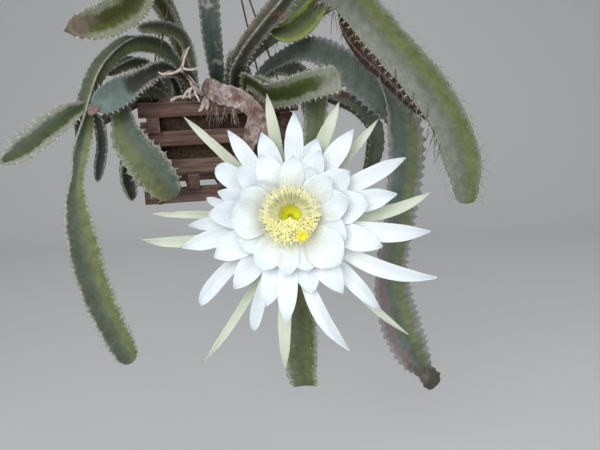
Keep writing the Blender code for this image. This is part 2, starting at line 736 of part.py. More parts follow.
def in_flower(radius, angle, front):
    """A point by radius, angle and distance forward of the flower's middle, in metres."""
    forward, right, up = flower_axes()
    around = right * math.cos(angle) + up * math.sin(angle)
    return from_rim(FLOWER_MIDDLE + around * radius + forward * front)


def blade_mesh(name, whorl, angle, tip, width, bend, layer, lean):
    """A channelled petal: a thin lens section carried along its whorl's profile."""
    shape = WHORLS[whorl]
    outline = BROAD_OUTLINE if shape["broad"] else NARROW_OUTLINE
    bm = bmesh.new()
    rows = []
    for share, half in outline:
        radius = shape["start"] + (tip - shape["start"]) * share
        rise = 1 - math.exp(-(radius - shape["start"]) / shape["ease"])
        front = shape["back"] + shape["rise"] * rise + layer * (0.35 + 0.65 * share)
        turn = math.radians(angle + bend * (share * share - 1))
        reach = half * width / 2
        spread = math.atan2(reach, radius)
        thick = BLADE_THICKNESS / 2
        channel = BLADE_CHANNEL * reach
        rim = math.hypot(radius, reach)
        row = [in_flower(rim, turn - spread, front + channel - lean * reach),
               in_flower(radius, turn, front + thick),
               in_flower(rim, turn + spread, front + channel + lean * reach),
               in_flower(radius, turn, front - thick)]
        rows.append([bm.verts.new(point) for point in row])
    for lower, upper in zip(rows, rows[1:]):
        for index in range(4):
            after = (index + 1) % 4
            if index % 2 == 0:
                bm.faces.new((lower[index], lower[after], upper[index]))
                bm.faces.new((lower[after], upper[after], upper[index]))
            else:
                bm.faces.new((lower[index], lower[after], upper[after]))
                bm.faces.new((lower[index], upper[after], upper[index]))
    for row in (rows[0], rows[-1]):
        bm.faces.new((row[0], row[1], row[3]))
        bm.faces.new((row[1], row[2], row[3]))
    return mesh_from(bm, name)


def turned_ring(name, profile, sides, parts, material):
    """A closed ring about the flower's axis, from a profile of radius and front pairs."""
    bm = bmesh.new()
    rings = []
    for step in range(sides):
        angle = 2 * math.pi * step / sides
        rings.append([bm.verts.new(in_flower(radius, angle, front)) for radius, front in profile])
    count = len(profile)
    for index, ring in enumerate(rings):
        following = rings[(index + 1) % sides]
        for corner in range(count):
            after = (corner + 1) % count
            bm.faces.new((ring[corner], ring[after], following[after], following[corner]))
    bmesh.ops.triangulate(bm, faces=bm.faces)
    return add_object(name, mesh_from(bm, name), parts, material)


def build_petals(parts, material):
    """The white petals in three whorls, fused to the collar they grow from."""
    floor = TUBE_BACK + GAP
    profile = [(COLLAR_INNER, floor), (COLLAR_OUTER, floor), (COLLAR_OUTER, COLLAR_FRONT),
               (COLLAR_INNER, COLLAR_FRONT)]
    petals = turned_ring("flower_petals", profile, MOUTH_SIDES, parts, material)
    blades = make_collection("petal_blades")
    for index, (whorl, angle, tip, width, bend) in enumerate(PETALS):
        layer = (index * GOLDEN_SHARE % 1 - 0.5) * LAYER_SPREAD
        lean = PETAL_LEAN * math.sin(2.4 * index)
        mesh = blade_mesh("petal", whorl, angle, tip, width, bend, layer, lean)
        add_object("petal", mesh, blades)
    apply_union(petals, blades)


def build_tube(parts, material):
    """The green flower tube with its open mouth, its scales and the outermost sepals."""
    points = smooth_route(TUBE_ROUTE, STATION)
    frames = carried_frames(points)
    rings = round_rings(points, TUBE_SIDES)
    tube = add_object("flower_tube", loft_mesh("flower_tube", rings), parts, material)
    repeats = make_collection("tube_repeats")
    profile = [(9.5, -84), (TUBE_OUTER, TUBE_BACK - 2), (TUBE_OUTER + 0.6, TUBE_MOUTH),
               (TUBE_INNER, TUBE_MOUTH), (TUBE_INNER, TUBE_BACK)]
    cup = [[in_flower(radius, 2 * math.pi * k / MOUTH_SIDES, front) for k in range(MOUTH_SIDES)]
           for radius, front in profile]
    add_object("cup", loft_mesh("cup", cup), repeats)
    for whorl, angle, tip, width, bend in SEPALS:
        mesh = blade_mesh("sepal", whorl, angle, tip, width, bend, 0, 0)
        add_object("sepal", mesh, repeats)
    for index in range(SCALE_COUNT):
        place = (index + 0.5) / SCALE_COUNT * (len(points) - 1)
        point = points[int(place)]
        travel, side, lift = frames[int(place)]
        a = math.radians(GOLDEN_ANGLE) * index
        outward = side * math.cos(a) + lift * math.sin(a)
        foot = point.xyz + outward * (point.w - SCALE_SINK)
        tip = foot + outward * SCALE_SPREAD + travel * SCALE_LENGTH
        cone_between("scale", from_rim(foot), from_rim(tip), SCALE_RADIUS, 0, repeats)
    apply_union(tube, repeats)


def build_stamens(parts, material):
    """A ring of filaments: a wide fan above, and a dense brush below the throat."""
    floor = TUBE_BACK + GAP
    profile = [(STAMEN_INNER, floor), (STAMEN_OUTER, floor), (STAMEN_OUTER, STAMEN_FRONT),
               (STAMEN_INNER, STAMEN_FRONT)]
    ring = turned_ring("flower_stamens", profile, 10, parts, material)
    filaments = make_collection("filaments")
    draw = random.Random(SEED)
    for index in range(STAMEN_COUNT):
        angle = math.radians(GOLDEN_ANGLE) * index
        low = max(0, -math.sin(angle))
        near_style = math.cos(angle - STYLE_SIDE) > 0.8
        crowd = STYLE_SIDE_DEPTH if near_style else BRUSH_DEPTH
        reach = FILAMENT_REACH - draw.uniform(0, crowd) * low
        front = draw.uniform(-2, 3) + BRUSH_FRONT * low
        share = (index + 0.5) / STAMEN_COUNT
        inner, outer = FILAMENT_ROOTS
        root = math.sqrt(inner ** 2 + (outer ** 2 - inner ** 2) * share)
        base = in_flower(root, angle, STAMEN_FRONT - FILAMENT_SINK)
        tip = in_flower(reach, angle, front)
        cone_between("filament", base, tip, FILAMENT_RADIUS, ANTHER_RADIUS, filaments)
    apply_union(ring, filaments)


def build_style(parts, material):
    """The style, rising from the tube's floor through the stamens, with its stigma lobes."""
    forward, right, up = flower_axes()
    middle = FLOWER_MIDDLE
    points = [middle + forward * (TUBE_BACK + GAP), middle + forward * -50,
              middle + forward * -22 + right * 2 - up * 4,
              middle + forward * 6 + right * 7 - up * 12,
              middle + forward * 26 + right * 11.5 - up * 19]
    stations = smooth_route([(*point, STYLE_RADIUS) for point in points], STATION)
    rings = round_rings(stations, 6)
    style = add_object("flower_style", loft_mesh("flower_style", rings), parts, material)
    lobes = make_collection("stigma_lobes")
    end = stations[-1].xyz
    travel, side, lift = carried_frames(stations)[-1]
    for index in range(STIGMA_LOBES):
        a = 2 * math.pi * index / STIGMA_LOBES
        outward = side * math.cos(a) + lift * math.sin(a)
        tip = end + outward * LOBE_SPREAD + travel * LOBE_LENGTH
        cone_between("lobe", from_rim(end - travel * 2), from_rim(tip), LOBE_RADIUS, 0, lobes)
    apply_union(style, lobes)


def shade_round(parts):
    """Shade every mesh smooth but for its sharp edges."""
    for obj in parts.objects:
        if obj.type == "MESH":
            obj.data.shade_smooth()
            obj.data.set_sharp_from_angle(angle=math.radians(40))


def main():
    """Build the hanging basket, the plant and its flower."""
    clear_scene()
    parts = make_collection("potted_cactus")
    looks = {name: make_material(name) for name in MATERIALS}
    build_slats(parts, looks["slat_wood"])
    build_soil(parts, looks["soil"])
    build_wires(parts, looks["hanger_steel"])
    build_hook(parts, looks["hanger_steel"])
    build_stems(parts, looks["stem_green"], looks["old_stem_brown"], looks["dry_stem_tan"])
    build_petals(parts, looks["petal_white"])
    build_tube(parts, looks["sepal_green"])
    build_stamens(parts, looks["stamen_yellow"])
    build_style(parts, looks["stigma_orange"])
    shade_round(parts)


main()
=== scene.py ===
"""Dress a hanging slatted basket with a night-blooming cactus in flower.

Metres, +Z up, and the flower faces -Y. A route is a list of points in millimetres from the
middle of the basket's rim, and its fourth value is the reach from its middle line to the
crest of a rib.
"""
import logging
import math
import random
from dataclasses import dataclass, field
from enum import Enum
from functools import partial
from typing import Callable, Optional, Sequence, Union

import bmesh
import bpy
from mathutils import Matrix, Vector, noise

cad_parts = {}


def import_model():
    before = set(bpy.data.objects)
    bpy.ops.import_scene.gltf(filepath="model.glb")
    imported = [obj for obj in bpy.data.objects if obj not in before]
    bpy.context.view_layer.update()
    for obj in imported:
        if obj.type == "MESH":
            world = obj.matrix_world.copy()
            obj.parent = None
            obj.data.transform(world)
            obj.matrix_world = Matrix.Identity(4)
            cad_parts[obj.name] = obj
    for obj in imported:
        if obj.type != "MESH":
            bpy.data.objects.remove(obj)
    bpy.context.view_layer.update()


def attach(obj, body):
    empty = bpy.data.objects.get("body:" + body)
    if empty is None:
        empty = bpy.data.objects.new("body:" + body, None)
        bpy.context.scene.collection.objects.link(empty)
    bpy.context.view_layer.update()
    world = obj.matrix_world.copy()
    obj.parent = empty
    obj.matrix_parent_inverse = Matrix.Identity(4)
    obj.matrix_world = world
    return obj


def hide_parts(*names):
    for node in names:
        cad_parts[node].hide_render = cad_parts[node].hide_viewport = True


LOG = logging.getLogger("cactus_basket")
MM = 0.001
# The clearance between slats and the rim's distance below the hook, in millimetres
GAP = 0.3
RIM_DROP = 400
BASKET_TURN = math.radians(12)
# Turns and shares that spread what grows in a spiral evenly
GOLDEN_ANGLE = math.radians(137.5)
GOLDEN_SHARE = 0.618
# What makes a mix one of colours, whose result is the node's third output
COLOURS = {"data_type": "RGBA", "out": 2}

Value = Union[bpy.types.NodeSocket, float, Sequence[float], str]
Inputs = dict[Union[str, int], Value]
Adder = Callable[..., bpy.types.NodeSocket]
Keys = Sequence[tuple[float, float]]
Route = Sequence[Sequence[float]]
Points = tuple[tuple[float, float, float, float], ...]


# Measures

def from_rim(point: Sequence[float]) -> Vector:
    """A point in millimetres from the rim's middle, as metres from the hook."""
    return Vector((point[0], point[1], point[2] - RIM_DROP)) * MM


def to_rim(place: Vector) -> Vector:
    """A place in metres from the hook, as millimetres from the rim's middle."""
    return place / MM + Vector((0, 0, RIM_DROP))


def basket_matrix() -> Matrix:
    """The basket's own axes, turned about the vertical at the rim's middle."""
    return Matrix.Translation((0, 0, -RIM_DROP * MM)) @ Matrix.Rotation(BASKET_TURN, 4, "Z")


def soft_step(low: float, high: float, value: float) -> float:
    """0 below low, 1 above high, and an eased climb between them."""
    share = min(1.0, max(0.0, (value - low) / (high - low)))
    return share * share * (3 - 2 * share)


def read_curve(keys: Keys, place: float) -> float:
    """Read a smooth curve through keys.

    Args:
        keys: Pairs of place and value, in rising order of place.
        place: Where to read it.

    Returns:
        The curve's value there.
    """
    index = 0
    while index < len(keys) - 2 and keys[index + 1][0] < place:
        index += 1
    (start, low), (end, high) = keys[index], keys[index + 1]
    before = keys[max(index - 1, 0)]
    after = keys[min(index + 2, len(keys) - 1)]
    span = end - start
    slope_in = (high - before[1]) / (end - before[0]) * span
    slope_out = (after[1] - low) / (after[0] - start) * span
    t = min(1.0, max(0.0, (place - start) / span))
    return ((2 * t ** 3 - 3 * t ** 2 + 1) * low + (t ** 3 - 2 * t ** 2 + t) * slope_in
            + (3 * t ** 2 - 2 * t ** 3) * high + (t ** 3 - t ** 2) * slope_out)


@dataclass
class Station:
    """A place along a route, with its axes: travel along it, and side and lift across it."""

    place: Vector
    travel: Vector
    side: Vector
    lift: Vector
    reach: float
    travelled: float

    def around(self, turn: float) -> Vector:
        """The direction out of the route at a turn about it, in radians."""
        return self.side * math.cos(turn) + self.lift * math.sin(turn)


def walk(route: Route, step: float, pieces: int = 14) -> list[Station]:
    """Follow a smooth curve through a route.

    Args:
        route: Points as x, y, z and reach, in millimetres from the rim's middle.
        step: The spacing of the stations, in millimetres.
        pieces: The straight pieces that stand for the curve from one point to the next.

    Returns:
        The stations, evenly spaced, with axes that are carried along without twist.
    """
    knots = [Vector(point) for point in route]
    knots = [2 * knots[0] - knots[1]] + knots + [2 * knots[-1] - knots[-2]]
    fine = []
    for before, start, end, after in zip(knots, knots[1:], knots[2:], knots[3:]):
        for piece in range(pieces):
            t = piece / pieces
            fine.append(0.5 * (2 * start + (end - before) * t
                               + (2 * before - 5 * start + 4 * end - after) * t * t
                               + (3 * start - before - 3 * end + after) * t ** 3))
    fine.append(knots[-2])
    lengths = [0.0]
    for start, end in zip(fine, fine[1:]):
        lengths.append(lengths[-1] + (end.xyz - start.xyz).length)
    count = max(2, round(lengths[-1] / step))
    points = []
    index = 0
    for station in range(count + 1):
        target = lengths[-1] * station / count
        while index < len(fine) - 2 and lengths[index + 1] < target:
            index += 1
        span = lengths[index + 1] - lengths[index]
        points.append(fine[index].lerp(fine[index + 1], (target - lengths[index]) / span))
    stations = []
    side = None
    for index, point in enumerate(points):
        ahead = points[min(index + 1, count)].xyz
        travel = (ahead - points[max(index - 1, 0)].xyz).normalized()
        if side is None:
            side = Vector((1, 0, 0)) if abs(travel.z) > 0.9 else travel.orthogonal().normalized()
        side = (side - travel * side.dot(travel)).normalized()
        stations.append(Station(from_rim(point), travel, side, travel.cross(side),
                                point.w * MM, lengths[-1] * index / count * MM))
    return stations


# Meshes

def placed_grid(across: int, along: int, place: Callable[[float, float], Vector],
                values: Optional[dict[str, Callable[[float, float], float]]] = None
                ) -> bmesh.types.BMesh:
    """Shape a grid by a rule.

    Args:
        across: Faces across it.
        along: Faces along it.
        place: Gives a point's place in metres from its shares across and along.
        values: Point attributes by name, each with its rule from the same two shares.

    Returns:
        The grid.
    """
    bm = bmesh.new()
    bmesh.ops.create_grid(bm, x_segments=across, y_segments=along, size=0.5)
    layers = {name: bm.verts.layers.float.new(name) for name in values or {}}
    for index, vert in enumerate(bm.verts):
        u = index % (across + 1) / across
        v = index // (across + 1) / along
        for name, layer in layers.items():
            vert[layer] = values[name](u, v)
        vert.co = place(u, v)
    return bm


def close_tube(bm: bmesh.types.BMesh) -> bmesh.types.BMesh:
    """Join a grid's seam and poles, fill its open ends and turn its faces outward.

    Args:
        bm: The grid of a tube.

    Returns:
        The same bmesh, closed.
    """
    bmesh.ops.remove_doubles(bm, verts=bm.verts, dist=0.0005 * MM)
    edges = [edge for edge in bm.edges if edge.is_boundary]
    bmesh.ops.holes_fill(bm, edges=edges, sides=0)
    bmesh.ops.recalc_face_normals(bm, faces=bm.faces)
    return bm


def plain_tube(route: Route, step: float, sides: int) -> bmesh.types.BMesh:
    """A round tube along a route, with a blunt point at each end and its share as "along".

    Args:
        route: Its points and radii, in millimetres from the rim's middle.
        step: The spacing of its rings, in millimetres.
        sides: Its faces around.

    Returns:
        The closed tube.
    """
    stations = walk(route, step)
    last = len(stations) - 1

    def place(u: float, v: float) -> Vector:
        """The tube's wall.

        Args:
            u: The share around.
            v: The share along.

        Returns:
            The point, in metres.
        """
        index = round(v * last)
        station = stations[index]
        reach = 0 if index in (0, last) else station.reach
        return station.place + station.around(math.tau * u) * reach

    return close_tube(placed_grid(sides, last, place, {"along": lambda u, v: v}))


def turned(profile: Sequence[tuple[float, float]], steps: int, axes: Matrix
           ) -> bmesh.types.BMesh:
    """Spin a closed profile of radius and height, in millimetres, about the axes' own Z.

    Args:
        profile: Its corners, as radius and height.
        steps: Its faces around.
        axes: Where it stands.

    Returns:
        The turned shape.
    """
    bm = bmesh.new()
    verts = [bm.verts.new((radius * MM, 0, height * MM)) for radius, height in profile]
    edges = [bm.edges.new(pair) for pair in zip(verts, verts[1:] + verts[:1])]
    bmesh.ops.spin(bm, geom=verts + edges, cent=(0, 0, 0), axis=(0, 0, 1),
                   angle=math.tau, steps=steps, use_merge=True)
    bmesh.ops.remove_doubles(bm, verts=bm.verts, dist=0.001 * MM)
    bmesh.ops.recalc_face_normals(bm, faces=bm.faces)
    bmesh.ops.transform(bm, matrix=axes, verts=bm.verts)
    return bm


def thicken(sheet: bmesh.types.BMesh, thickness: float) -> bmesh.types.BMesh:
    """Give a sheet a thickness in millimetres and turn its faces outward.

    Args:
        sheet: The open sheet.
        thickness: How thick it becomes.

    Returns:
        The same bmesh, closed.
    """
    bmesh.ops.solidify(sheet, geom=sheet.faces[:], thickness=thickness * MM)
    bmesh.ops.recalc_face_normals(sheet, faces=sheet.faces)
    return sheet


def as_mesh(bm: bmesh.types.BMesh, name: str = "part") -> bpy.types.Mesh:
    """Turn a bmesh into a mesh and free it.

    Args:
        bm: The shape.
        name: The mesh's name.

    Returns:
        The mesh.
    """
    mesh = bpy.data.meshes.new(name)
    bm.to_mesh(mesh)
    bm.free()
    return mesh


class Cluster:
    """Small shapes gathered into one mesh."""

    def __init__(self) -> None:
        """Start empty."""
        self.bm = bmesh.new()

    def take(self, bm: bmesh.types.BMesh) -> None:
        """Add a bmesh and free it.

        Args:
            bm: The shape to add.
        """
        mesh = as_mesh(bm)
        self.bm.from_mesh(mesh, face_normals=False, vertex_normals=False)
        bpy.data.meshes.remove(mesh)

    def stamp(self, template: bpy.types.Mesh, matrix: Matrix) -> None:
        """Add a copy of a template at a matrix.

        Args:
            template: The mesh to copy.
            matrix: Where the copy goes.
        """
        mesh = template.copy()
        mesh.transform(matrix)
        self.bm.from_mesh(mesh, face_normals=False, vertex_normals=False)
        bpy.data.meshes.remove(mesh)


def tubes(routes: Sequence[Route], step: float, sides: int) -> bmesh.types.BMesh:
    """Plain tubes along several routes, in one mesh.

    Args:
        routes: Each tube's points and radii, in millimetres from the rim's middle.
        step: The spacing of the rings, in millimetres.
        sides: The faces around each.

    Returns:
        The tubes.
    """
    shape = Cluster()
    for route in routes:
        shape.take(plain_tube(route, step, sides))
    return shape.bm


def crumb(radius: float) -> bpy.types.Mesh:
    """A small faceted ball, as a template.

    Args:
        radius: Its radius.

    Returns:
        The template.
    """
    bm = bmesh.new()
    bmesh.ops.create_icosphere(bm, subdivisions=1, radius=radius)
    return as_mesh(bm)


def facing(place: Vector, direction: Vector, scale: Sequence[float] = (1, 1, 1)) -> Matrix:
    """A matrix at a place whose own Z points along a direction."""
    turn = direction.to_track_quat("Z", "Y").to_matrix().to_4x4()
    return Matrix.Translation(place) @ turn @ Matrix.Diagonal((*scale, 1))


def add_piece(name: str, bm: bmesh.types.BMesh, finish: bpy.types.Material, slot: str,
              nodes: Sequence[str] = (), crease: float = 180) -> None:
    """Make a bmesh a piece of the object, which rides on the part's one body.

    Args:
        name: The piece's name.
        bm: Its shape, in place.
        finish: Its material.
        slot: The record's slot; not used.
        nodes: The solids that it stands for.
        crease: The angle in degrees from which an edge stays sharp.
    """
    mesh = as_mesh(bm, name)
    mesh.materials.append(finish)
    mesh.shade_smooth()
    if crease < 180:
        mesh.set_sharp_from_angle(angle=math.radians(crease))
    piece = bpy.data.objects.new(name, mesh)
    bpy.context.scene.collection.objects.link(piece)
    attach(piece, "root")
    if nodes:
        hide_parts(*nodes)
    LOG.info("%s: %d faces", name, len(mesh.polygons))


# Finishes

def linear(code: str) -> tuple[float, float, float, float]:
    """An sRGB hex code as linear red, green, blue and alpha.

    Args:
        code: A hash sign and two hex digits for each of red, green and blue.

    Returns:
        The linear colour.
    """
    levels = [int(code[place:place + 2], 16) / 255 for place in (1, 3, 5)]
    curve = [v / 12.92 if v <= 0.04045 else ((v + 0.055) / 1.055) ** 2.4 for v in levels]
    return (*curve, 1.0)


def per_metre(size: float) -> float:
    """The scale of a pattern whose features lie so many millimetres apart."""
    return 1 / (size * MM)


def add_node(tree: bpy.types.NodeTree, kind: str, inputs: Optional[Inputs] = None,
             stops: Sequence[tuple[float, str]] = (), out: Union[str, int] = 0,
             **settings: object) -> bpy.types.NodeSocket:
    """Add a node.

    Args:
        tree: The material's nodes.
        kind: The node's type, without its "ShaderNode" prefix.
        inputs: A value, a hex colour or another node's output, by the socket's name or place.
        stops: Places and hex colours, for a ramp.
        out: The name or place of the output that is wanted.
        settings: The node's own properties.

    Returns:
        That output.
    """
    node = tree.nodes.new("ShaderNode" + kind)
    for key, value in settings.items():
        setattr(node, key, value)
    for index, (place, code) in enumerate(stops):
        elements = node.color_ramp.elements
        stop = elements[index] if index < 2 else elements.new(place)
        stop.position = place
        stop.color = linear(code)
    for key, value in (inputs or {}).items():
        if isinstance(value, bpy.types.NodeSocket):
            tree.links.new(value, node.inputs[key])
        else:
            node.inputs[key].default_value = linear(value) if isinstance(value, str) else value
    return node.outputs[out]


def start_finish(name: str, **values: float) -> tuple[Adder, bpy.types.Node]:
    """What adds nodes to a new material, and its shader with plain numbers on its sockets.

    Args:
        name: The material's name.
        values: Numbers for the shader's sockets, with _ for a space.

    Returns:
        The function that adds a node, and the shader.
    """
    material = bpy.data.materials.new(name)
    material.use_nodes = True
    shader = material.node_tree.nodes["Principled BSDF"]
    for key, value in values.items():
        shader.inputs[key.replace("_", " ")].default_value = value
    return partial(add_node, material.node_tree), shader


def end_finish(node: Adder, shader: bpy.types.Node, colour: bpy.types.NodeSocket,
               roughness: bpy.types.NodeSocket, height: bpy.types.NodeSocket, depth: float
               ) -> bpy.types.Material:
    """Link colour, roughness and a bump of a real depth in millimetres to the shader.

    Args:
        node: What adds a node.
        shader: The material's shader.
        colour: The output that colours it.
        roughness: The output that roughens it.
        height: The output that the bump follows.
        depth: The bump's depth.

    Returns:
        The finished material.
    """
    bump = node("Bump", {"Height": height, "Distance": depth * MM, "Strength": 1.0})
    for key, value in (("Base Color", colour), ("Roughness", roughness), ("Normal", bump)):
        shader.id_data.links.new(value, shader.inputs[key])
    return owner_of(shader)


def owner_of(shader: bpy.types.Node) -> bpy.types.Material:
    """The material that a shader belongs to."""
    return next(m for m in bpy.data.materials if m.node_tree == shader.id_data)


@dataclass(frozen=True)
class CactusSkin:
    """Living cactus skin: a dull waxy cuticle over green flesh, with cork where it ages."""

    # Painted light: the yellower lit half and the greyer shaded half of each face
    painted_lit_half: str
    painted_shade_half: str
    # Painted shade at the floor of each valley
    deep: str
    margin: str
    margin_share: float = 0.24
    cork: str = "#5E4A3A"
    cork_share: float = 0.2
    tip: str = ""
    tip_from: float = 0.9
    # The share along the stem from which the painted lit half shows
    painted_lit_from: float = -1.0
    scurf: float = 0.6
    withered: str = ""
    withered_from: float = 0.5
    mottled: str = "#CFCFC6"
    scurf_tone: str = "#A9AAA0"
    worn_cork: str = "#93826F"

    def material(self, name: str) -> bpy.types.Material:
        """Green faces, with cork at the root and a tip of its own colour.

        Args:
            name: The material's name.

        Returns:
            The material.
        """
        node, shader = start_finish(name, Roughness=0.55, IOR=1.42)
        place = node("TexCoord", out="Object")
        at = {key: node("Attribute", attribute_name=key, out="Fac")
              for key in ("rib", "bark", "flank", "along")}
        # Blotches about 30 mm apart, mottling about 11 mm, a waxy grain and flecks of 2 mm
        noises = {"blotch": (29.412, 6.0, 0.62), "mottle": (11.111, 5.0, 0.65),
                  "grain": (1.9231, 3.0, 0.5), "fleck": (2.5, 2.0, 0.5)}
        for key, (size, detail, roughness) in noises.items():
            at[key] = node("TexNoise", {"Vector": place, "Scale": per_metre(size), "Detail": detail,
                                        "Roughness": roughness})
        shade = node("ValToRGB", {0: at["mottle"]}, [(0.3, self.mottled), (0.62, "#FFFFFF")])
        skin = self.green(node, at, shade)
        level = node("Math", {0: at["bark"], 1: at["blotch"]}, operation="ADD")
        start = 0.74 - 0.22 * self.cork_share
        cork_mask = node("MapRange", {0: level, 1: start, 2: start + 0.08})
        cork = node("Mix", {0: at["grain"], 6: self.cork, 7: self.worn_cork}, **COLOURS)
        colour = node("Mix", {0: cork_mask, 6: skin, 7: cork}, **COLOURS)
        if self.tip:
            grown = node("Math", {0: at["blotch"], 1: 0.22, 2: at["along"]},
                         operation="MULTIPLY_ADD")
            end = self.tip_from + 0.11
            tip_mask = node("MapRange", {0: grown, 1: end - 0.03, 2: end + 0.03})
            tip = node("Mix", {0: 1.0, 6: self.tip, 7: shade}, blend_type="MULTIPLY", **COLOURS)
            colour = node("Mix", {0: tip_mask, 6: colour, 7: tip}, **COLOURS)
        rough = node("MapRange", {0: cork_mask, 3: 0.5, 4: 0.9})
        rough = node("Math", {0: at["grain"], 1: 0.16, 2: rough}, operation="MULTIPLY_ADD")
        crust = node("Math", {0: cork_mask, 1: at["grain"]}, operation="MULTIPLY")
        height = node("Math", {0: at["mottle"], 1: 0.5, 2: crust}, operation="MULTIPLY_ADD")
        return end_finish(node, shader, colour, rough, height, 1.2)

    def green(self, node: Adder, at: dict[str, bpy.types.NodeSocket],
              shade: bpy.types.NodeSocket) -> bpy.types.NodeSocket:
        """Each face has a yellower painted lit half, a greyer painted shaded half, painted shade in
        its valley and paler ribs.

        Args:
            node: What adds a node.
            at: The skin's attributes and noises by name.
            shade: The mottling that darkens it.

        Returns:
            The colour of the green skin with its dead edges and scurf.
        """
        half = node("Math", {0: at["blotch"], 1: 3.6, 2: at["flank"]}, operation="MULTIPLY_ADD")
        mask = node("MapRange", {0: half, 1: 1.1, 2: 2.5})
        # The painted lit half shows only past a share along the stem
        if self.painted_lit_from > 0:
            lit = node("MapRange", {0: at["along"], 1: self.painted_lit_from - 0.05,
                                    2: self.painted_lit_from + 0.05})
            mask = node("Math", {0: mask, 1: lit}, operation="MULTIPLY")
        # Painted light: one half of each face is painted lit, the other painted in shade
        skin = node("Mix", {0: mask, 6: self.painted_shade_half, 7: self.painted_lit_half}, **COLOURS)
        # Painted valley shade: a deeper tone towards each valley floor
        floor = node("MapRange", {0: at["rib"], 1: 0.0, 2: 0.34, 3: 0.85, 4: 0.0})
        skin = node("Mix", {0: floor, 6: skin, 7: self.deep}, **COLOURS)
        skin = node("Mix", {0: 1.0, 6: skin, 7: shade}, blend_type="MULTIPLY", **COLOURS)
        if self.withered:
            outer = node("Math", {0: at["flank"], 1: at["rib"]}, operation="MULTIPLY")
            patchy = node("Math", {0: outer, 1: -1.0, 2: at["blotch"]},
                          operation="MULTIPLY_ADD")
            dead = node("MapRange", {0: patchy, 1: 0.66, 2: 0.86})
            lower = node("MapRange", {0: at["along"], 1: self.withered_from,
                                      2: self.withered_from + 0.1})
            mask = node("Math", {0: dead, 1: lower}, operation="MULTIPLY")
            skin = node("Mix", {0: mask, 6: skin, 7: self.withered}, **COLOURS)
        edge = node("Math", {0: at["mottle"], 1: 0.55, 2: at["rib"]}, operation="MULTIPLY_ADD")
        low = 1.27 - self.margin_share
        mask = node("MapRange", {0: edge, 1: low - 0.13, 2: low + 0.1, 3: 0.0, 4: 0.92})
        skin = node("Mix", {0: mask, 6: skin, 7: self.margin}, **COLOURS)
        flecked = node("Math", {0: at["rib"], 1: 0.3, 2: at["fleck"]}, operation="MULTIPLY_ADD")
        mask = node("MapRange", {0: flecked, 1: 0.8, 2: 0.88, 3: 0.0, 4: self.scurf})
        return node("Mix", {0: mask, 6: skin, 7: self.scurf_tone}, **COLOURS)


@dataclass(frozen=True)
class DryStem:
    """Withered cactus skin: papery, matt and shrunk on to its ribs, whose edges bleach."""

    pale: str = "#A0968D"
    brown: str = "#6E5C4C"
    # The painted shade of the hollows
    dark: str = "#3A2E26"

    def material(self, name: str) -> bpy.types.Material:
        """Bleached rib edges and painted shade in the hollows, with creases about 3 mm apart.

        Args:
            name: The material's name.

        Returns:
            The material.
        """
        node, shader = start_finish(name, Roughness=0.85)
        place = node("TexCoord", out="Object")
        rib = node("Attribute", attribute_name="rib", out="Fac")
        tone = node("TexNoise", {"Vector": place, "Scale": per_metre(11.111), "Detail": 6.0,
                                 "Roughness": 0.7})
        crease = node("TexNoise", {"Vector": place, "Scale": per_metre(3.125), "Detail": 4.0,
                                   "Distortion": 1.5})
        both = node("Math", {0: tone, 1: crease}, operation="MULTIPLY")
        # Painted shade: the colour darkens towards the hollows and pales towards the bleached
        # crests
        level = node("Math", {0: both, 1: 0.8, 2: rib}, operation="MULTIPLY_ADD")
        colour = node("ValToRGB", {0: level}, [(0.3, self.dark), (0.86, self.brown),
                                               (1.0, self.pale)])
        rough = node("MapRange", {0: crease, 3: 0.78, 4: 0.95})
        return end_finish(node, shader, colour, rough, both, 1.5)


@dataclass(frozen=True)
class Bark:
    """Cork on an old cactus stem: rough, pinkish grey and brown, with pale weathered crust."""

    deep: str = "#4C3A33"
    warm: str = "#8A7973"
    pale: str = "#C2BBBE"
    rust: str = "#6B4A3C"

    def material(self, name: str) -> bpy.types.Material:
        """Patches about 12 mm across, furrows about 4 mm apart and rusty stains.

        Args:
            name: The material's name.

        Returns:
            The material.
        """
        node, shader = start_finish(name, Roughness=0.9)
        place = node("TexCoord", out="Object")
        warp = node("TexNoise", {"Vector": place, "Scale": per_metre(7.143), "Detail": 4.0},
                    out="Color")
        moved = node("Mix", {0: 0.02, 4: place, 5: warp}, out=1, data_type="VECTOR")
        plates = node("TexVoronoi", {"Vector": moved, "Scale": per_metre(4.167)}, out="Distance",
                      feature="DISTANCE_TO_EDGE")
        crack = node("MapRange", {0: plates, 1: 0.0, 2: 0.16})
        tone = node("TexNoise", {"Vector": place, "Scale": per_metre(11.765), "Detail": 8.0,
                                 "Roughness": 0.74})
        mixed = node("Math", {0: crack, 1: 0.07, 2: tone}, operation="MULTIPLY_ADD")
        colour = node("ValToRGB", {0: mixed}, [(0.42, self.deep), (0.56, self.warm),
                                               (0.72, self.pale)])
        stain = node("TexNoise", {"Vector": moved, "Scale": per_metre(23.81), "Detail": 5.0})
        mask = node("MapRange", {0: stain, 1: 0.52, 2: 0.62, 3: 0.0, 4: 0.6})
        colour = node("Mix", {0: mask, 6: colour, 7: self.rust}, **COLOURS)
        rough = node("MapRange", {0: tone, 3: 0.8, 4: 0.98})
        return end_finish(node, shader, colour, rough, mixed, 2.4)


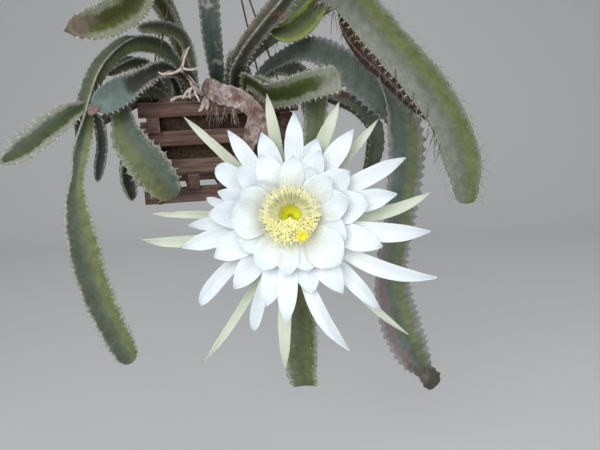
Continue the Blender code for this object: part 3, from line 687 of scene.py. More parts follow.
@dataclass(frozen=True)
class Petal:
    """Petal tissue: thin, satin and slightly see-through, with fine veins along it."""

    root: str
    glow: str
    body: str
    tip: str
    vein: str
    ripples: float = 34.0
    vein_depth: float = 0.09

    def material(self, name: str) -> bpy.types.Material:
        """Colour by the share along the petal, and veins 1.5 to 3 mm apart across it.

        Args:
            name: The material's name.

        Returns:
            The material.
        """
        node, shader = start_finish(name, Roughness=0.48, IOR=1.38, Subsurface_Weight=0.3,
                                    Subsurface_Scale=0.004)
        shader.inputs["Subsurface Radius"].default_value = (1.0, 1.0, 0.9)
        along, across = (node("Attribute", attribute_name=key, out="Fac")
                         for key in ("along", "across"))
        cloud = node("TexNoise", {"Vector": node("TexCoord", out="Object"),
                                  "Scale": per_metre(14.286), "Detail": 3.0})
        shift = node("Math", {0: cloud, 1: 0.14, 2: -0.07}, operation="MULTIPLY_ADD")
        spread = node("Math", {0: along, 1: shift}, operation="ADD")
        # For the white petals the glow stop is a painted warm glow of light in the cup, and the tip
        # stop a painted cool blue-grey shade
        tint = node("ValToRGB", {0: spread}, [(0.0, self.root), (0.3, self.glow),
                                              (0.52, self.body), (1.0, self.tip)])
        wave = node("Math", {0: across, 1: self.ripples}, operation="MULTIPLY")
        ripple = node("Math", {0: wave}, operation="SINE")
        lines = node("MapRange", {0: ripple, 1: -1.0, 2: 1.0})
        faint = node("Math", {0: lines, 1: self.vein_depth}, operation="MULTIPLY")
        colour = node("Mix", {0: faint, 6: tint, 7: self.vein}, **COLOURS)
        rough = node("MapRange", {0: cloud, 3: 0.4, 4: 0.58})
        height = node("Math", {0: cloud, 1: 0.8, 2: lines}, operation="MULTIPLY_ADD")
        return end_finish(node, shader, colour, rough, height, 0.22)


@dataclass(frozen=True)
class Filament:
    """Stamen filaments: glassy, pale yellow threads that are greener at the root."""

    root: str = "#E6E884"
    body: str = "#FCFCCE"
    tip: str = "#FFFEE2"

    def material(self, name: str) -> bpy.types.Material:
        """Colour by the share along each thread, softened by a noise about 8 mm wide.

        Args:
            name: The material's name.

        Returns:
            The material.
        """
        node, shader = start_finish(name, Roughness=0.5, IOR=1.38)
        along = node("Attribute", attribute_name="along", out="Fac")
        cloud = node("TexNoise", {"Vector": node("TexCoord", out="Object"),
                                  "Scale": per_metre(8.333), "Detail": 3.0})
        level = node("Math", {0: cloud, 1: 0.2, 2: along}, operation="MULTIPLY_ADD")
        colour = node("ValToRGB", {0: level}, [(0.06, self.root), (0.36, self.body),
                                               (1.0, self.tip)])
        rough = node("MapRange", {0: cloud, 3: 0.42, 4: 0.6})
        return end_finish(node, shader, colour, rough, cloud, 0.1)


@dataclass(frozen=True)
class Grained:
    """A plain organic finish of two tones that mingle at one grain size in millimetres."""

    dark: str
    light: str
    grain: float
    depth: float
    roughness: float = 0.7

    def material(self, name: str) -> bpy.types.Material:
        """Two tones and a bump from one noise, with a finer noise in the roughness.

        Args:
            name: The material's name.

        Returns:
            The material.
        """
        node, shader = start_finish(name)
        place = node("TexCoord", out="Object")
        tone = node("TexNoise", {"Vector": place, "Scale": per_metre(self.grain), "Detail": 5.0,
                                 "Roughness": 0.6})
        fine = node("TexNoise", {"Vector": place, "Scale": per_metre(self.grain / 4),
                                 "Detail": 2.0})
        colour = node("ValToRGB", {0: tone}, [(0.32, self.dark), (0.66, self.light)])
        rough = node("MapRange", {0: fine, 3: self.roughness - 0.1, 4: self.roughness + 0.12})
        return end_finish(node, shader, colour, rough, tone, self.depth)


@dataclass(frozen=True)
class WeatheredWood:
    """Rough-sawn softwood, stained reddish and paler and greyer on its upward faces, with raised
    grain.
    """

    deep: str = "#34231E"
    body: str = "#5C4239"
    grey: str = "#8D7D76"
    crack: str = "#1C0F0B"
    grain_size: tuple[float, float, float] = (71.43, 3.0303, 3.0303)
    stain_size: tuple[float, float, float] = (55.556, 16.667, 16.667)
    crack_size: tuple[float, float, float] = (111.11, 1.6129, 1.6129)

    def material(self, name: str) -> bpy.types.Material:
        """Grain lines about 3 mm apart along each slat, and greyer wood on its upper faces.

        Args:
            name: The material's name.

        Returns:
            The material.
        """
        node, shader = start_finish(name, Roughness=0.85)
        own = node("Attribute", attribute_name="wood_at", out="Vector")
        drawn, wide, split = (
            node("Mapping", {"Vector": own, "Scale": [per_metre(size) for size in sizes]})
            for sizes in (self.grain_size, self.stain_size, self.crack_size))
        grain = node("TexNoise", {"Vector": drawn, "Scale": 1.0, "Detail": 6.0,
                                  "Roughness": 0.66, "Distortion": 0.4})
        stain = node("TexNoise", {"Vector": wide, "Scale": 1.0, "Detail": 4.0})
        cracks = node("TexNoise", {"Vector": split, "Scale": 1.0, "Detail": 2.0})
        # Paler and greyer on faces that look upward
        up = node("SeparateXYZ", {0: node("NewGeometry", out="Normal")}, out="Z")
        paler_upward = node("MapRange", {0: up, 1: 0.25, 2: 0.9, 3: 0.0, 4: 0.45})
        level = node("Math", {0: grain, 1: 0.75, 2: paler_upward}, operation="MULTIPLY_ADD")
        stained = node("Math", {0: stain, 1: 0.5, 2: level}, operation="MULTIPLY_ADD")
        tone = node("ValToRGB", {0: stained}, [(0.42, self.deep), (0.62, self.body),
                                               (0.95, self.grey)])
        gap = node("MapRange", {0: cracks, 1: 0.28, 2: 0.36, 3: 0.75, 4: 0.0})
        colour = node("Mix", {0: gap, 6: tone, 7: self.crack}, **COLOURS)
        rough = node("MapRange", {0: grain, 3: 0.72, 4: 0.95})
        height = node("Math", {0: gap, 1: -0.8, 2: grain}, operation="MULTIPLY_ADD")
        return end_finish(node, shader, colour, rough, height, 0.9)


@dataclass(frozen=True)
class TarnishedSteel:
    """Galvanised steel wire that has dulled and browned outdoors."""

    grey: str = "#5E5A55"
    rust: str = "#4A3527"

    def material(self, name: str) -> bpy.types.Material:
        """Dull metal with brown patches about 6 mm long.

        Args:
            name: The material's name.

        Returns:
            The material.
        """
        node, shader = start_finish(name, Metallic=0.85)
        patch = node("TexNoise", {"Vector": node("TexCoord", out="Object"),
                                  "Scale": per_metre(5.882), "Detail": 5.0})
        colour = node("ValToRGB", {0: patch}, [(0.4, self.rust), (0.62, self.grey)])
        rough = node("MapRange", {0: patch, 3: 0.75, 4: 0.38})
        return end_finish(node, shader, colour, rough, patch, 0.15)


# The basket

@dataclass
class Basket:
    """Crossed layers of slats around a block of potting mix.

    Sizes and depths are in millimetres. A rate is a noise's features per metre.
    """

    slat_length: float = 206
    slat_width: float = 16
    layer_height: float = 18.5
    layers: int = 7
    crossing: float = 85
    floor_places: tuple[float, ...] = (-40, 0, 40)
    slices: int = 24
    worn_edge: float = 1.1
    warp_rate: float = 60
    warp_depth: float = 0.35
    saw_rate: float = 300
    saw_depth: float = 0.16
    soil_top: float = -12
    soil_cuts: int = 46
    lump_rate: float = 55
    lump_depth: float = 2.4
    crumb_rate: float = 330
    crumb_depth: float = 1.2
    soil_heaped: float = 0.4
    soil_drawn_in: float = -2.0
    chip_count: int = 230
    chip_margin: float = 6
    chip_length: tuple[float, float] = (6, 16)
    chip_width: tuple[float, float] = (4, 9)
    chip_thickness: tuple[float, float] = (2, 5)
    seed: int = 11
    wood: bpy.types.Material = field(init=False)

    def build(self) -> None:
        """Build the slats, the mix and the bark chips on it."""
        # Old softwood: its red stain is paler and greyer on upward faces
        self.wood = WeatheredWood().material("weathered_softwood")
        draw = random.Random(self.seed)
        # Unseeded, noise_vector would give other slats each run
        noise.seed_set(self.seed)
        for layer in range(self.layers):
            across = layer % 2 == 0
            names = ("front", "back") if across else ("left", "right")
            for name, side in zip(names, (-1, 1)):
                middle = (0, side * self.crossing) if across else (side * self.crossing, 0)
                self.build_slat(f"slat_{name}_{layer // 2 + 1}", middle, layer, not across, draw)
        for index, x in enumerate(self.floor_places):
            self.build_slat(f"slat_floor_{index + 1}", (x, 0), self.layers - 2, True, draw)
        self.build_soil()
        self.build_chips(draw)

    def build_slat(self, node: str, middle: tuple[float, float], layer: int, turned_quarter: bool,
                   draw: random.Random) -> None:
        """Saw one slat: a bevelled bar with a slight bow and worn edges.

        Args:
            node: The solid that it stands for.
            middle: Its x and y in the basket's axes, in millimetres.
            layer: Its layer, counted down from the rim.
            turned_quarter: Whether it runs along the basket's own y.
            draw: The source of its small differences.
        """
        bm = bmesh.new()
        bmesh.ops.create_cube(bm, size=1)
        size = Vector((self.slat_length, self.slat_width, self.layer_height - GAP)) * MM
        bmesh.ops.scale(bm, vec=size, verts=bm.verts)
        for station in range(1, self.slices):
            x = (station / self.slices - 0.5) * size.x
            bmesh.ops.bisect_plane(bm, geom=bm.verts[:] + bm.edges[:] + bm.faces[:],
                                   plane_co=(x, 0, 0), plane_no=(1, 0, 0))
        sharp = [edge for edge in bm.edges if edge.calc_face_angle(0) > 1]
        bmesh.ops.bevel(bm, geom=sharp, offset=self.worn_edge * MM, segments=2, profile=0.5,
                        affect="EDGES", material=-1)
        seed = Vector((draw.uniform(0, 50), draw.uniform(0, 50), draw.uniform(0, 50)))
        own = bm.verts.layers.float_vector.new("wood_at")
        for vert in bm.verts:
            vert[own] = vert.co + seed
            warp = noise.noise_vector(vert.co * self.warp_rate + seed) * self.warp_depth
            sawn = noise.noise_vector(vert.co * self.saw_rate + seed) * self.saw_depth
            wear = warp + sawn
            vert.co += Vector((wear.x, wear.y, wear.z * 0.6)) * MM
        quarter = Matrix.Rotation(math.radians(90), 4, "Z") if turned_quarter else Matrix()
        height = -(layer + 0.5) * self.layer_height - GAP / 2
        place = basket_matrix() @ Matrix.Translation(Vector((*middle, height)) * MM) @ quarter
        bmesh.ops.transform(bm, matrix=place, verts=bm.verts)
        add_piece(f"{node}_wood", bm, self.wood, "slat_wood", (node,), 35)

    def build_soil(self) -> None:
        """Fill the basket with a block of mix whose sides and top are crumbly."""
        width = 2 * (self.crossing - self.slat_width / 2 - GAP)
        bottom = -(self.layers - 2) * self.layer_height
        bm = bmesh.new()
        bmesh.ops.create_cube(bm, size=1)
        bmesh.ops.subdivide_edges(bm, edges=bm.edges[:], cuts=self.soil_cuts,
                                  use_grid_fill=True)
        size = Vector((width, width, self.soil_top - bottom)) * MM
        bmesh.ops.scale(bm, vec=size, verts=bm.verts)
        bm.normal_update()
        for vert in bm.verts:
            lump = noise.fractal(vert.co * self.lump_rate, 1.0, 2.0, 3) * self.lump_depth
            grit = noise.noise(vert.co * self.crumb_rate) * self.crumb_depth
            on_top = vert.co.z > size.z * 0.49
            rise = self.soil_heaped if on_top else self.soil_drawn_in
            vert.co += vert.normal * (lump + grit + rise) * MM
        middle = Vector((0, 0, (self.soil_top + bottom) / 2)) * MM
        bmesh.ops.transform(bm, matrix=basket_matrix() @ Matrix.Translation(middle),
                            verts=bm.verts)
        # Damp bark and moss: nearly black, matt and crumbly
        mix = Grained("#1B130E", "#4A3726", 4, 1.6, 0.92).material("potting_mix")
        add_piece("potting_mix", bm, mix, "soil", ("soil",))

    def build_chips(self, draw: random.Random) -> None:
        """Scatter bark chips over the mix, each a worn flake.

        Args:
            draw: The source of their places and sizes.
        """
        template = crumb(0.5)
        chips = Cluster()
        half = self.crossing - self.slat_width / 2 - self.chip_margin
        for _ in range(self.chip_count):
            x, y = draw.uniform(-half, half), draw.uniform(-half, half)
            place = basket_matrix() @ (Vector((x, y, self.soil_top + draw.uniform(-1, 4))) * MM)
            lean = Vector((draw.gauss(0, 0.4), draw.gauss(0, 0.4), 1)).normalized()
            size = Vector([draw.uniform(*span) for span in (
                self.chip_length, self.chip_width, self.chip_thickness)]) * MM
            spin = Matrix.Rotation(draw.uniform(0, math.tau), 4, "Z")
            chips.stamp(template, facing(place, lean) @ spin @ Matrix.Diagonal((*size, 1)))
        # Split pine bark: matt, reddish brown flakes with paler faces
        chip = Grained("#2C1C12", "#7A583C", 5, 0.8, 0.88).material("pine_bark_chips")
        add_piece("bark_chips", chips.bm, chip, "soil", (), 30)


@dataclass
class Hanger:
    """Four wires up to a ring, and the crook that it hangs from. Sizes are in millimetres."""

    crossing: float = 85
    lowest: float = -131.1
    foot: float = 8
    tail: float = 6
    bend: float = 4.3
    wire_radius: float = 1.2
    rod_radius: float = 2.5
    crook_radius: float = 13.5
    ring_radius: float = 14
    ring_drop: float = 77
    approach: float = 14
    above_slats: float = 3
    shank: tuple[tuple[float, float, float], ...] = (
        (-13, 0, -18), (-10, 0, -27), (-5, 0, -35), (-1.2, 0, -43), (0, 0, -51))
    steel: bpy.types.Material = field(init=False)

    def build(self) -> None:
        """Bend the four wires and the crook with its ring."""
        # Tarnished wire: dull grey metal that browns in patches
        self.steel = TarnishedSteel().material("tarnished_steel")
        # Each wire's name by its corner, and where on the ring it hangs, in degrees
        corners = {(-1, -1): ("front_left", -12), (1, -1): ("front_right", 12),
                   (-1, 1): ("back_left", -36), (1, 1): ("back_right", 36)}
        for (sx, sy), (name, turn) in corners.items():
            self.build_wire(name, sx, sy, math.radians(turn))
        self.build_crook()

    def build_wire(self, name: str, sx: int, sy: int, turn: float) -> None:
        """One wire: a foot, a run up through the slats, and a bend over the ring.

        Args:
            name: Its corner.
            sx: The corner's side in x, -1 or 1.
            sy: The corner's side in y, -1 or 1.
            turn: Where it hangs on the ring, in radians.
        """
        inner = self.crossing - self.foot
        low = [(inner, self.lowest), (self.crossing, self.lowest),
               (self.crossing, self.above_slats)]
        points = [basket_matrix() @ (Vector((sx * out, sy * out, height)) * MM)
                  for out, height in low]
        outward = Vector((math.sin(turn), 0, -math.cos(turn)))
        seat = Vector((0, 0, -self.ring_drop)) + outward * self.ring_radius
        beside = Vector((0, sy, 0))
        points.append((seat + outward * self.approach + beside * self.bend) * MM)
        for degrees in range(0, 181, 20):
            a = math.radians(degrees)
            points.append((seat + (beside * math.cos(a) - outward * math.sin(a)) * self.bend)
                          * MM)
        points.append((seat + outward * self.tail - beside * self.bend) * MM)
        self.bend_rod(f"hanger_wire_{name}", points, self.wire_radius, (f"wire_{name}",))

    def build_crook(self) -> None:
        """The crook and its shank, and the ring at the shank's foot."""
        middle = self.rod_radius - self.crook_radius
        points = []
        for degrees in range(-20, 181, 10):
            a = math.radians(degrees)
            points.append(Vector((math.cos(a), 0, math.sin(a))) * self.crook_radius
                          + Vector((0, 0, middle)))
        points += [Vector(point) for point in self.shank]
        points.append(Vector((0, 0, self.ring_radius - self.ring_drop)))
        self.bend_rod("hanger_crook", [point * MM for point in points], self.rod_radius,
                      ("hook",))
        bm = bmesh.new()
        start = Matrix.Translation((self.ring_radius * MM, 0, 0))
        bmesh.ops.create_circle(bm, segments=14, radius=self.rod_radius * MM,
                                matrix=start @ Matrix.Rotation(math.radians(90), 4, "X"))
        bmesh.ops.spin(bm, geom=bm.verts[:] + bm.edges[:], cent=(0, 0, 0), axis=(0, 0, 1),
                       angle=math.tau, steps=48, use_merge=True)
        bmesh.ops.recalc_face_normals(bm, faces=bm.faces)
        stand = Matrix.Translation((0, 0, -self.ring_drop * MM))
        bmesh.ops.transform(bm, matrix=stand @ Matrix.Rotation(math.radians(90), 4, "X"),
                            verts=bm.verts)
        add_piece("hanger_ring", bm, self.steel, "hanger_steel")

    def bend_rod(self, name: str, points: Sequence[Vector], radius: float,
                 nodes: Sequence[str]) -> None:
        """A round rod along points in metres, for the solids that it stands for.

        Args:
            name: The piece's name.
            points: Its course, in metres.
            radius: Its radius, in millimetres.
            nodes: The solids that it stands for.
        """
        curve = bpy.data.curves.new(name, "CURVE")
        curve.dimensions = "3D"
        curve.bevel_depth = radius * MM
        curve.bevel_resolution = 4
        curve.use_fill_caps = True
        spline = curve.splines.new("POLY")
        spline.points.add(len(points) - 1)
        for target, point in zip(spline.points, points):
            target.co = (*point, 1)
        curve.materials.append(self.steel)
        piece = bpy.data.objects.new(name, curve)
        bpy.context.scene.collection.objects.link(piece)
        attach(piece, "root")
        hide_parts(*nodes)
        LOG.info("%s: %d points", name, len(points))


# The stems

class Ending(Enum):
    """How a stem ends: over how many millimetres its reach closes."""

    GROWING = 9.0
    BLUNT = 4.0
    CUT = 0.0


@dataclass(frozen=True)
class Armour:
    """What grows from the areoles, in millimetres: their spacing, spines, felt and hairs."""

    spacing: float = 9
    spines: int = 4
    spine: float = 5.5
    felt: float = 1.0
    hairs: int = 0
    hair: float = 12


@dataclass(frozen=True)
class Offshoot:
    """A branch that looks unlike its stem: its own skin and armour."""

    skin: Union[CactusSkin, Bark]
    armour: Optional[Armour] = None


def rooted(x: float, y: float) -> list[tuple[float, float, float, float]]:
    """The lowest points of a stem that stands in the mix at x, y."""
    return [(x, y, z, 7.5) for z in (-40, -26, -12)]


@dataclass
class Stem:
    """A three-ribbed stem with its branches.

    Sizes are in millimetres and rolls in degrees. The twist is its degrees, and the shares of
    the length where it starts and ends. The valley, sink, tooth, woody_fill, crest_share, lump
    and dent are shares of the reach. A rate is a noise's features per metre.
    """

    node: str
    routes: list[list[tuple[float, float, float, float]]]
    skin: Union[CactusSkin, DryStem, Bark]
    armour: Optional[Armour] = Armour()
    rolls: tuple[float, ...] = (0,)
    twist: tuple[float, float, float] = (0, 0, 1)
    offshoots: dict[int, Offshoot] = field(default_factory=dict)
    bark: float = 30
    branch_bark: float = -25
    valley: float = 0.3
    sink: float = 0.05
    tooth: float = 0.05
    rib_reach: tuple[float, float, float] = (1, 1, 1)
    ending: Ending = Ending.GROWING
    slot: str = "stem_green"
    step: float = 2.2
    rib_edge: float = 1.1
    bark_fade: float = 25
    woody_fill: float = 0.88
    crest_share: float = 0.93
    lump: float = 0.05
    lump_rate: float = 45
    dent: float = 0.03
    dent_rate: float = 130
    wrinkle: float = 0.35
    wrinkle_rate: float = 240
    ring: tuple[float, ...] = (0, 0.035, 0.12, 0.3, 0.55, 0.8, 1)

    def build(self, draw: random.Random, tools: "ArmourTools") -> None:
        """Build the skin and what grows on it.

        Args:
            draw: The source of small differences.
            tools: The small shapes that the areoles are made of.
        """
        shapes: dict[Union[CactusSkin, DryStem, Bark], Cluster] = {}
        thorns, hairs = Cluster(), Cluster()
        for number, route in enumerate(self.routes):
            bark = self.branch_bark if number else self.bark
            odd = self.offshoots.get(number)
            armour = odd.armour if odd else self.armour
            stations = walk(route, self.step)
            self.turn_ribs(stations, number)
            shape = shapes.setdefault(odd.skin if odd else self.skin, Cluster())
            shape.take(self.flesh(stations, bark))
            if armour:
                self.arm(stations, armour, bark, draw, tools, thorns, hairs)
        for index, (skin, shape) in enumerate(shapes.items()):
            name = f"{self.node}_branch_{index}" if index else f"{self.node}_flesh"
            add_piece(name, shape.bm, skin.material(f"{name}_skin"), self.slot,
                      () if index else (self.node,))
        if self.armour:
            add_piece(f"{self.node}_spines", thorns.bm, tools.spine_finish, self.slot)
            if self.armour.hairs:
                add_piece(f"{self.node}_hairs", hairs.bm, tools.hair_finish, self.slot)

    def turn_ribs(self, stations: list[Station], number: int) -> None:
        """Turn each station's axes by the route's roll, and twist the main route.

        Args:
            stations: The route's stations.
            number: The route's place among the stem's routes.
        """
        roll = self.rolls[number] if number < len(self.rolls) else 0
        turn, low, high = self.twist if number == 0 else (0, 0, 1)
        for index, station in enumerate(stations):
            twisted = roll + turn * soft_step(low, high, index / (len(stations) - 1))
            side = station.around(math.radians(twisted))
            station.side, station.lift = side, station.travel.cross(side)

    def crest(self, station: Station, bark: float, rib: int) -> float:
        """The reach of a rib's crest, in metres, with its notches at the areoles.

        Args:
            station: The place along the route.
            bark: Where its cork ends, in millimetres.
            rib: Which of the three ribs.

        Returns:
            The reach.
        """
        at = station.travelled / MM
        woody = 1 - soft_step(bark, bark + self.bark_fade, at)
        spacing = self.armour.spacing if self.armour else 12
        notch = self.tooth * math.cos(math.tau * at / spacing) * (1 - woody)
        lump = (self.lump * noise.noise(station.place * self.lump_rate)
                + self.dent * noise.noise(station.place * self.dent_rate))
        share = self.crest_share + 0.05 * woody + notch + lump
        return station.reach * self.rib_reach[rib] * share

    def closed(self, left: float) -> float:
        """How far the reach has closed at a distance in metres from the stem's end."""
        share = left / (self.ending.value * MM) if self.ending.value else 1.0
        return 1.0 if share >= 1 else math.sqrt(max(0.0, 1 - (1 - share) ** 2)) * 0.9 + 0.1

    def flesh(self, stations: list[Station], bark: float) -> bmesh.types.BMesh:
        """The ribbed skin of one route, closed at both ends.

        Args:
            stations: The route's stations.
            bark: Where its cork ends, in millimetres.

        Returns:
            The closed skin.
        """
        half = len(self.ring) - 1
        last = len(stations) - 1
        length = stations[-1].travelled
        shares = [*self.ring, *reversed(self.ring[:-1])]

        def split(u: float) -> tuple[int, float, float]:
            """The rib, the way to turn from its crest, and the share down to the valley.

            Args:
                u: The share around.

            Returns:
                Those three.
            """
            index = round(u * 6 * half)
            rib, place = divmod(index, 2 * half)
            return rib % 3 + (place > half), (1 if place <= half else -1), shares[place]

        def at_ring(v: float) -> Station:
            """The station of a ring; the ring after the last is the middle of the end."""
            return stations[min(round(v * (last + 1)), last)]

        def place(u: float, v: float) -> Vector:
            """The skin's place.

            Args:
                u: The share around.
                v: The share along.

            Returns:
                The point, in metres.
            """
            station = at_ring(v)
            if v == 1:
                return station.place
            rib, way, share = split(u)
            woody = 1 - soft_step(bark, bark + self.bark_fade, station.travelled / MM)
            close = self.closed(length - station.travelled)
            valley = self.valley + (self.woody_fill - self.valley) * max(woody, 1 - close)
            turn = math.radians(120 * rib)
            out, across = station.around(turn), station.around(turn + way * math.pi / 3)
            reach = self.crest(station, bark, rib % 3) * close
            top = out * reach
            foot = across * station.reach * valley * close
            normal = (foot - top).cross(station.travel).normalized()
            if normal.dot(out + across) < 0:
                normal = -normal
            swell = self.rib_edge * MM * math.sqrt(min(1, share / 0.1)) * (1 - share ** 2)
            sink = self.sink * station.reach * math.sin(math.pi * share) * (1 - woody)
            middle = station.place + top.lerp(foot, share)
            wrinkle = self.wrinkle * MM * noise.noise(middle * self.wrinkle_rate)
            return middle + normal * (swell - sink + wrinkle)

        def bark_at(u: float, v: float) -> float:
            """How corky the skin is: at the root, and along the crests."""
            at = at_ring(v).travelled / MM
            return 0.6 * (1 - soft_step(bark, bark + 30, at)) + 0.06 * (1 - split(u)[2])

        def rib_at(u: float, v: float) -> float:
            """1 on a crest and round the stem's end, and 0 in a valley.

            Args:
                u: The share around.
                v: The share along.

            Returns:
                The attribute's value.
            """
            left = (length - at_ring(v).travelled) / MM
            cap = max(0.5, 0.8 * self.ending.value)
            return max(1 - split(u)[2], 1 - soft_step(0.0, cap, left))

        def flank_at(u: float, v: float) -> float:
            """1 on the half of a face before its valley and -1 on the half after it."""
            _rib, way, share = split(u)
            return way * min(1.0, 2.2 * math.sin(math.pi * share))

        values = {"rib": rib_at, "bark": bark_at, "flank": flank_at, "along": lambda u, v: v}
        return close_tube(placed_grid(6 * half, last + 1, place, values))

    def arm(self, stations: list[Station], armour: Armour, bark: float, draw: random.Random,
            tools: "ArmourTools", thorns: Cluster, hairs: Cluster) -> None:
        """Set felt, spines and hairs on every areole from the bark to the tip.

        Args:
            stations: The route's stations.
            armour: What grows there.
            bark: Where its cork ends, in millimetres.
            draw: The source of small differences.
            tools: The small shapes that the areoles are made of.
            thorns: Takes the felt and the spines.
            hairs: Takes the hairs.
        """
        target = (bark + 8) * MM if bark > 0 else 6 * MM
        for station in stations:
            left = stations[-1].travelled - station.travelled
            if station.travelled < target or left < 3 * MM:
                continue
            target += armour.spacing * MM
            close = self.closed(left)
            for rib in range(3):
                out = station.around(math.radians(120 * rib))
                reach = self.crest(station, bark, rib) * close
                crest = station.place + out * (reach + 0.2 * MM)
                size = armour.felt * draw.uniform(0.5, 1.3) * MM
                thorns.stamp(tools.felt, facing(crest, out, (size, size, size * 0.7)))
                for _ in range(draw.randint(armour.spines - 1, armour.spines + 1)):
                    lean = (out + station.travel * draw.gauss(0.1, 0.5)
                            + out.cross(station.travel) * draw.gauss(0, 0.5)).normalized()
                    long = armour.spine * draw.uniform(0.5, 1.15) * MM
                    thorns.stamp(tools.spine, facing(crest, lean, (MM, MM, long)))
                for _ in range(armour.hairs):
                    self.grow_hair(crest, out, station, armour.hair * draw.uniform(0.4, 1.1),
                                   draw, hairs)

    def grow_hair(self, crest: Vector, out: Vector, station: Station, long: float,
                  draw: random.Random, hairs: Cluster) -> None:
        """One limp hair that leaves the rib and droops.

        Args:
            crest: Its root, in metres.
            out: The way out of the rib.
            station: The place along the route.
            long: Its length, in millimetres.
            draw: The source of its lean.
            hairs: Takes the hair.
        """
        start = to_rim(crest)
        lean = (out + station.travel * draw.gauss(0, 0.7)
                + out.cross(station.travel) * draw.gauss(0, 0.6)).normalized()
        middle = start + lean * long * 0.5
        end = start + lean * long * 0.85 - Vector((0, 0, long * 0.35))
        route = [(*start, 0.18), (*middle, 0.16), (*end, 0.1)]
        hairs.take(plain_tube(route, long / 4, 3))


class ArmourTools:
    """The small shapes and finishes that all areoles share."""

    def __init__(self) -> None:
        """Model a unit of felt and a unit spine, and mix their finishes."""
        self.felt = crumb(1)
        spine = bmesh.new()
        bmesh.ops.create_cone(spine, cap_ends=True, segments=3, radius1=0.42, radius2=0.03,
                              depth=1, matrix=Matrix.Translation((0, 0, 0.5)))
        self.spine = as_mesh(spine, "spine")
        # Dry spines: bone grey, with a faint sheen
        self.spine_finish = Grained("#8E887C", "#CBC7BE", 3, 0.2, 0.7).material("areole_spines")
        # Shed hairs: thin, dull and grey brown
        self.hair_finish = Grained("#4E483F", "#A8A296", 9, 0.1, 0.8).material("areole_hairs")


GREY_GREEN = CactusSkin("#4A513C", "#424842", "#3A4132", "#72746A")
DEEP_GREEN = CactusSkin("#3C4432", "#343C34", "#2D3526", "#686A5F")


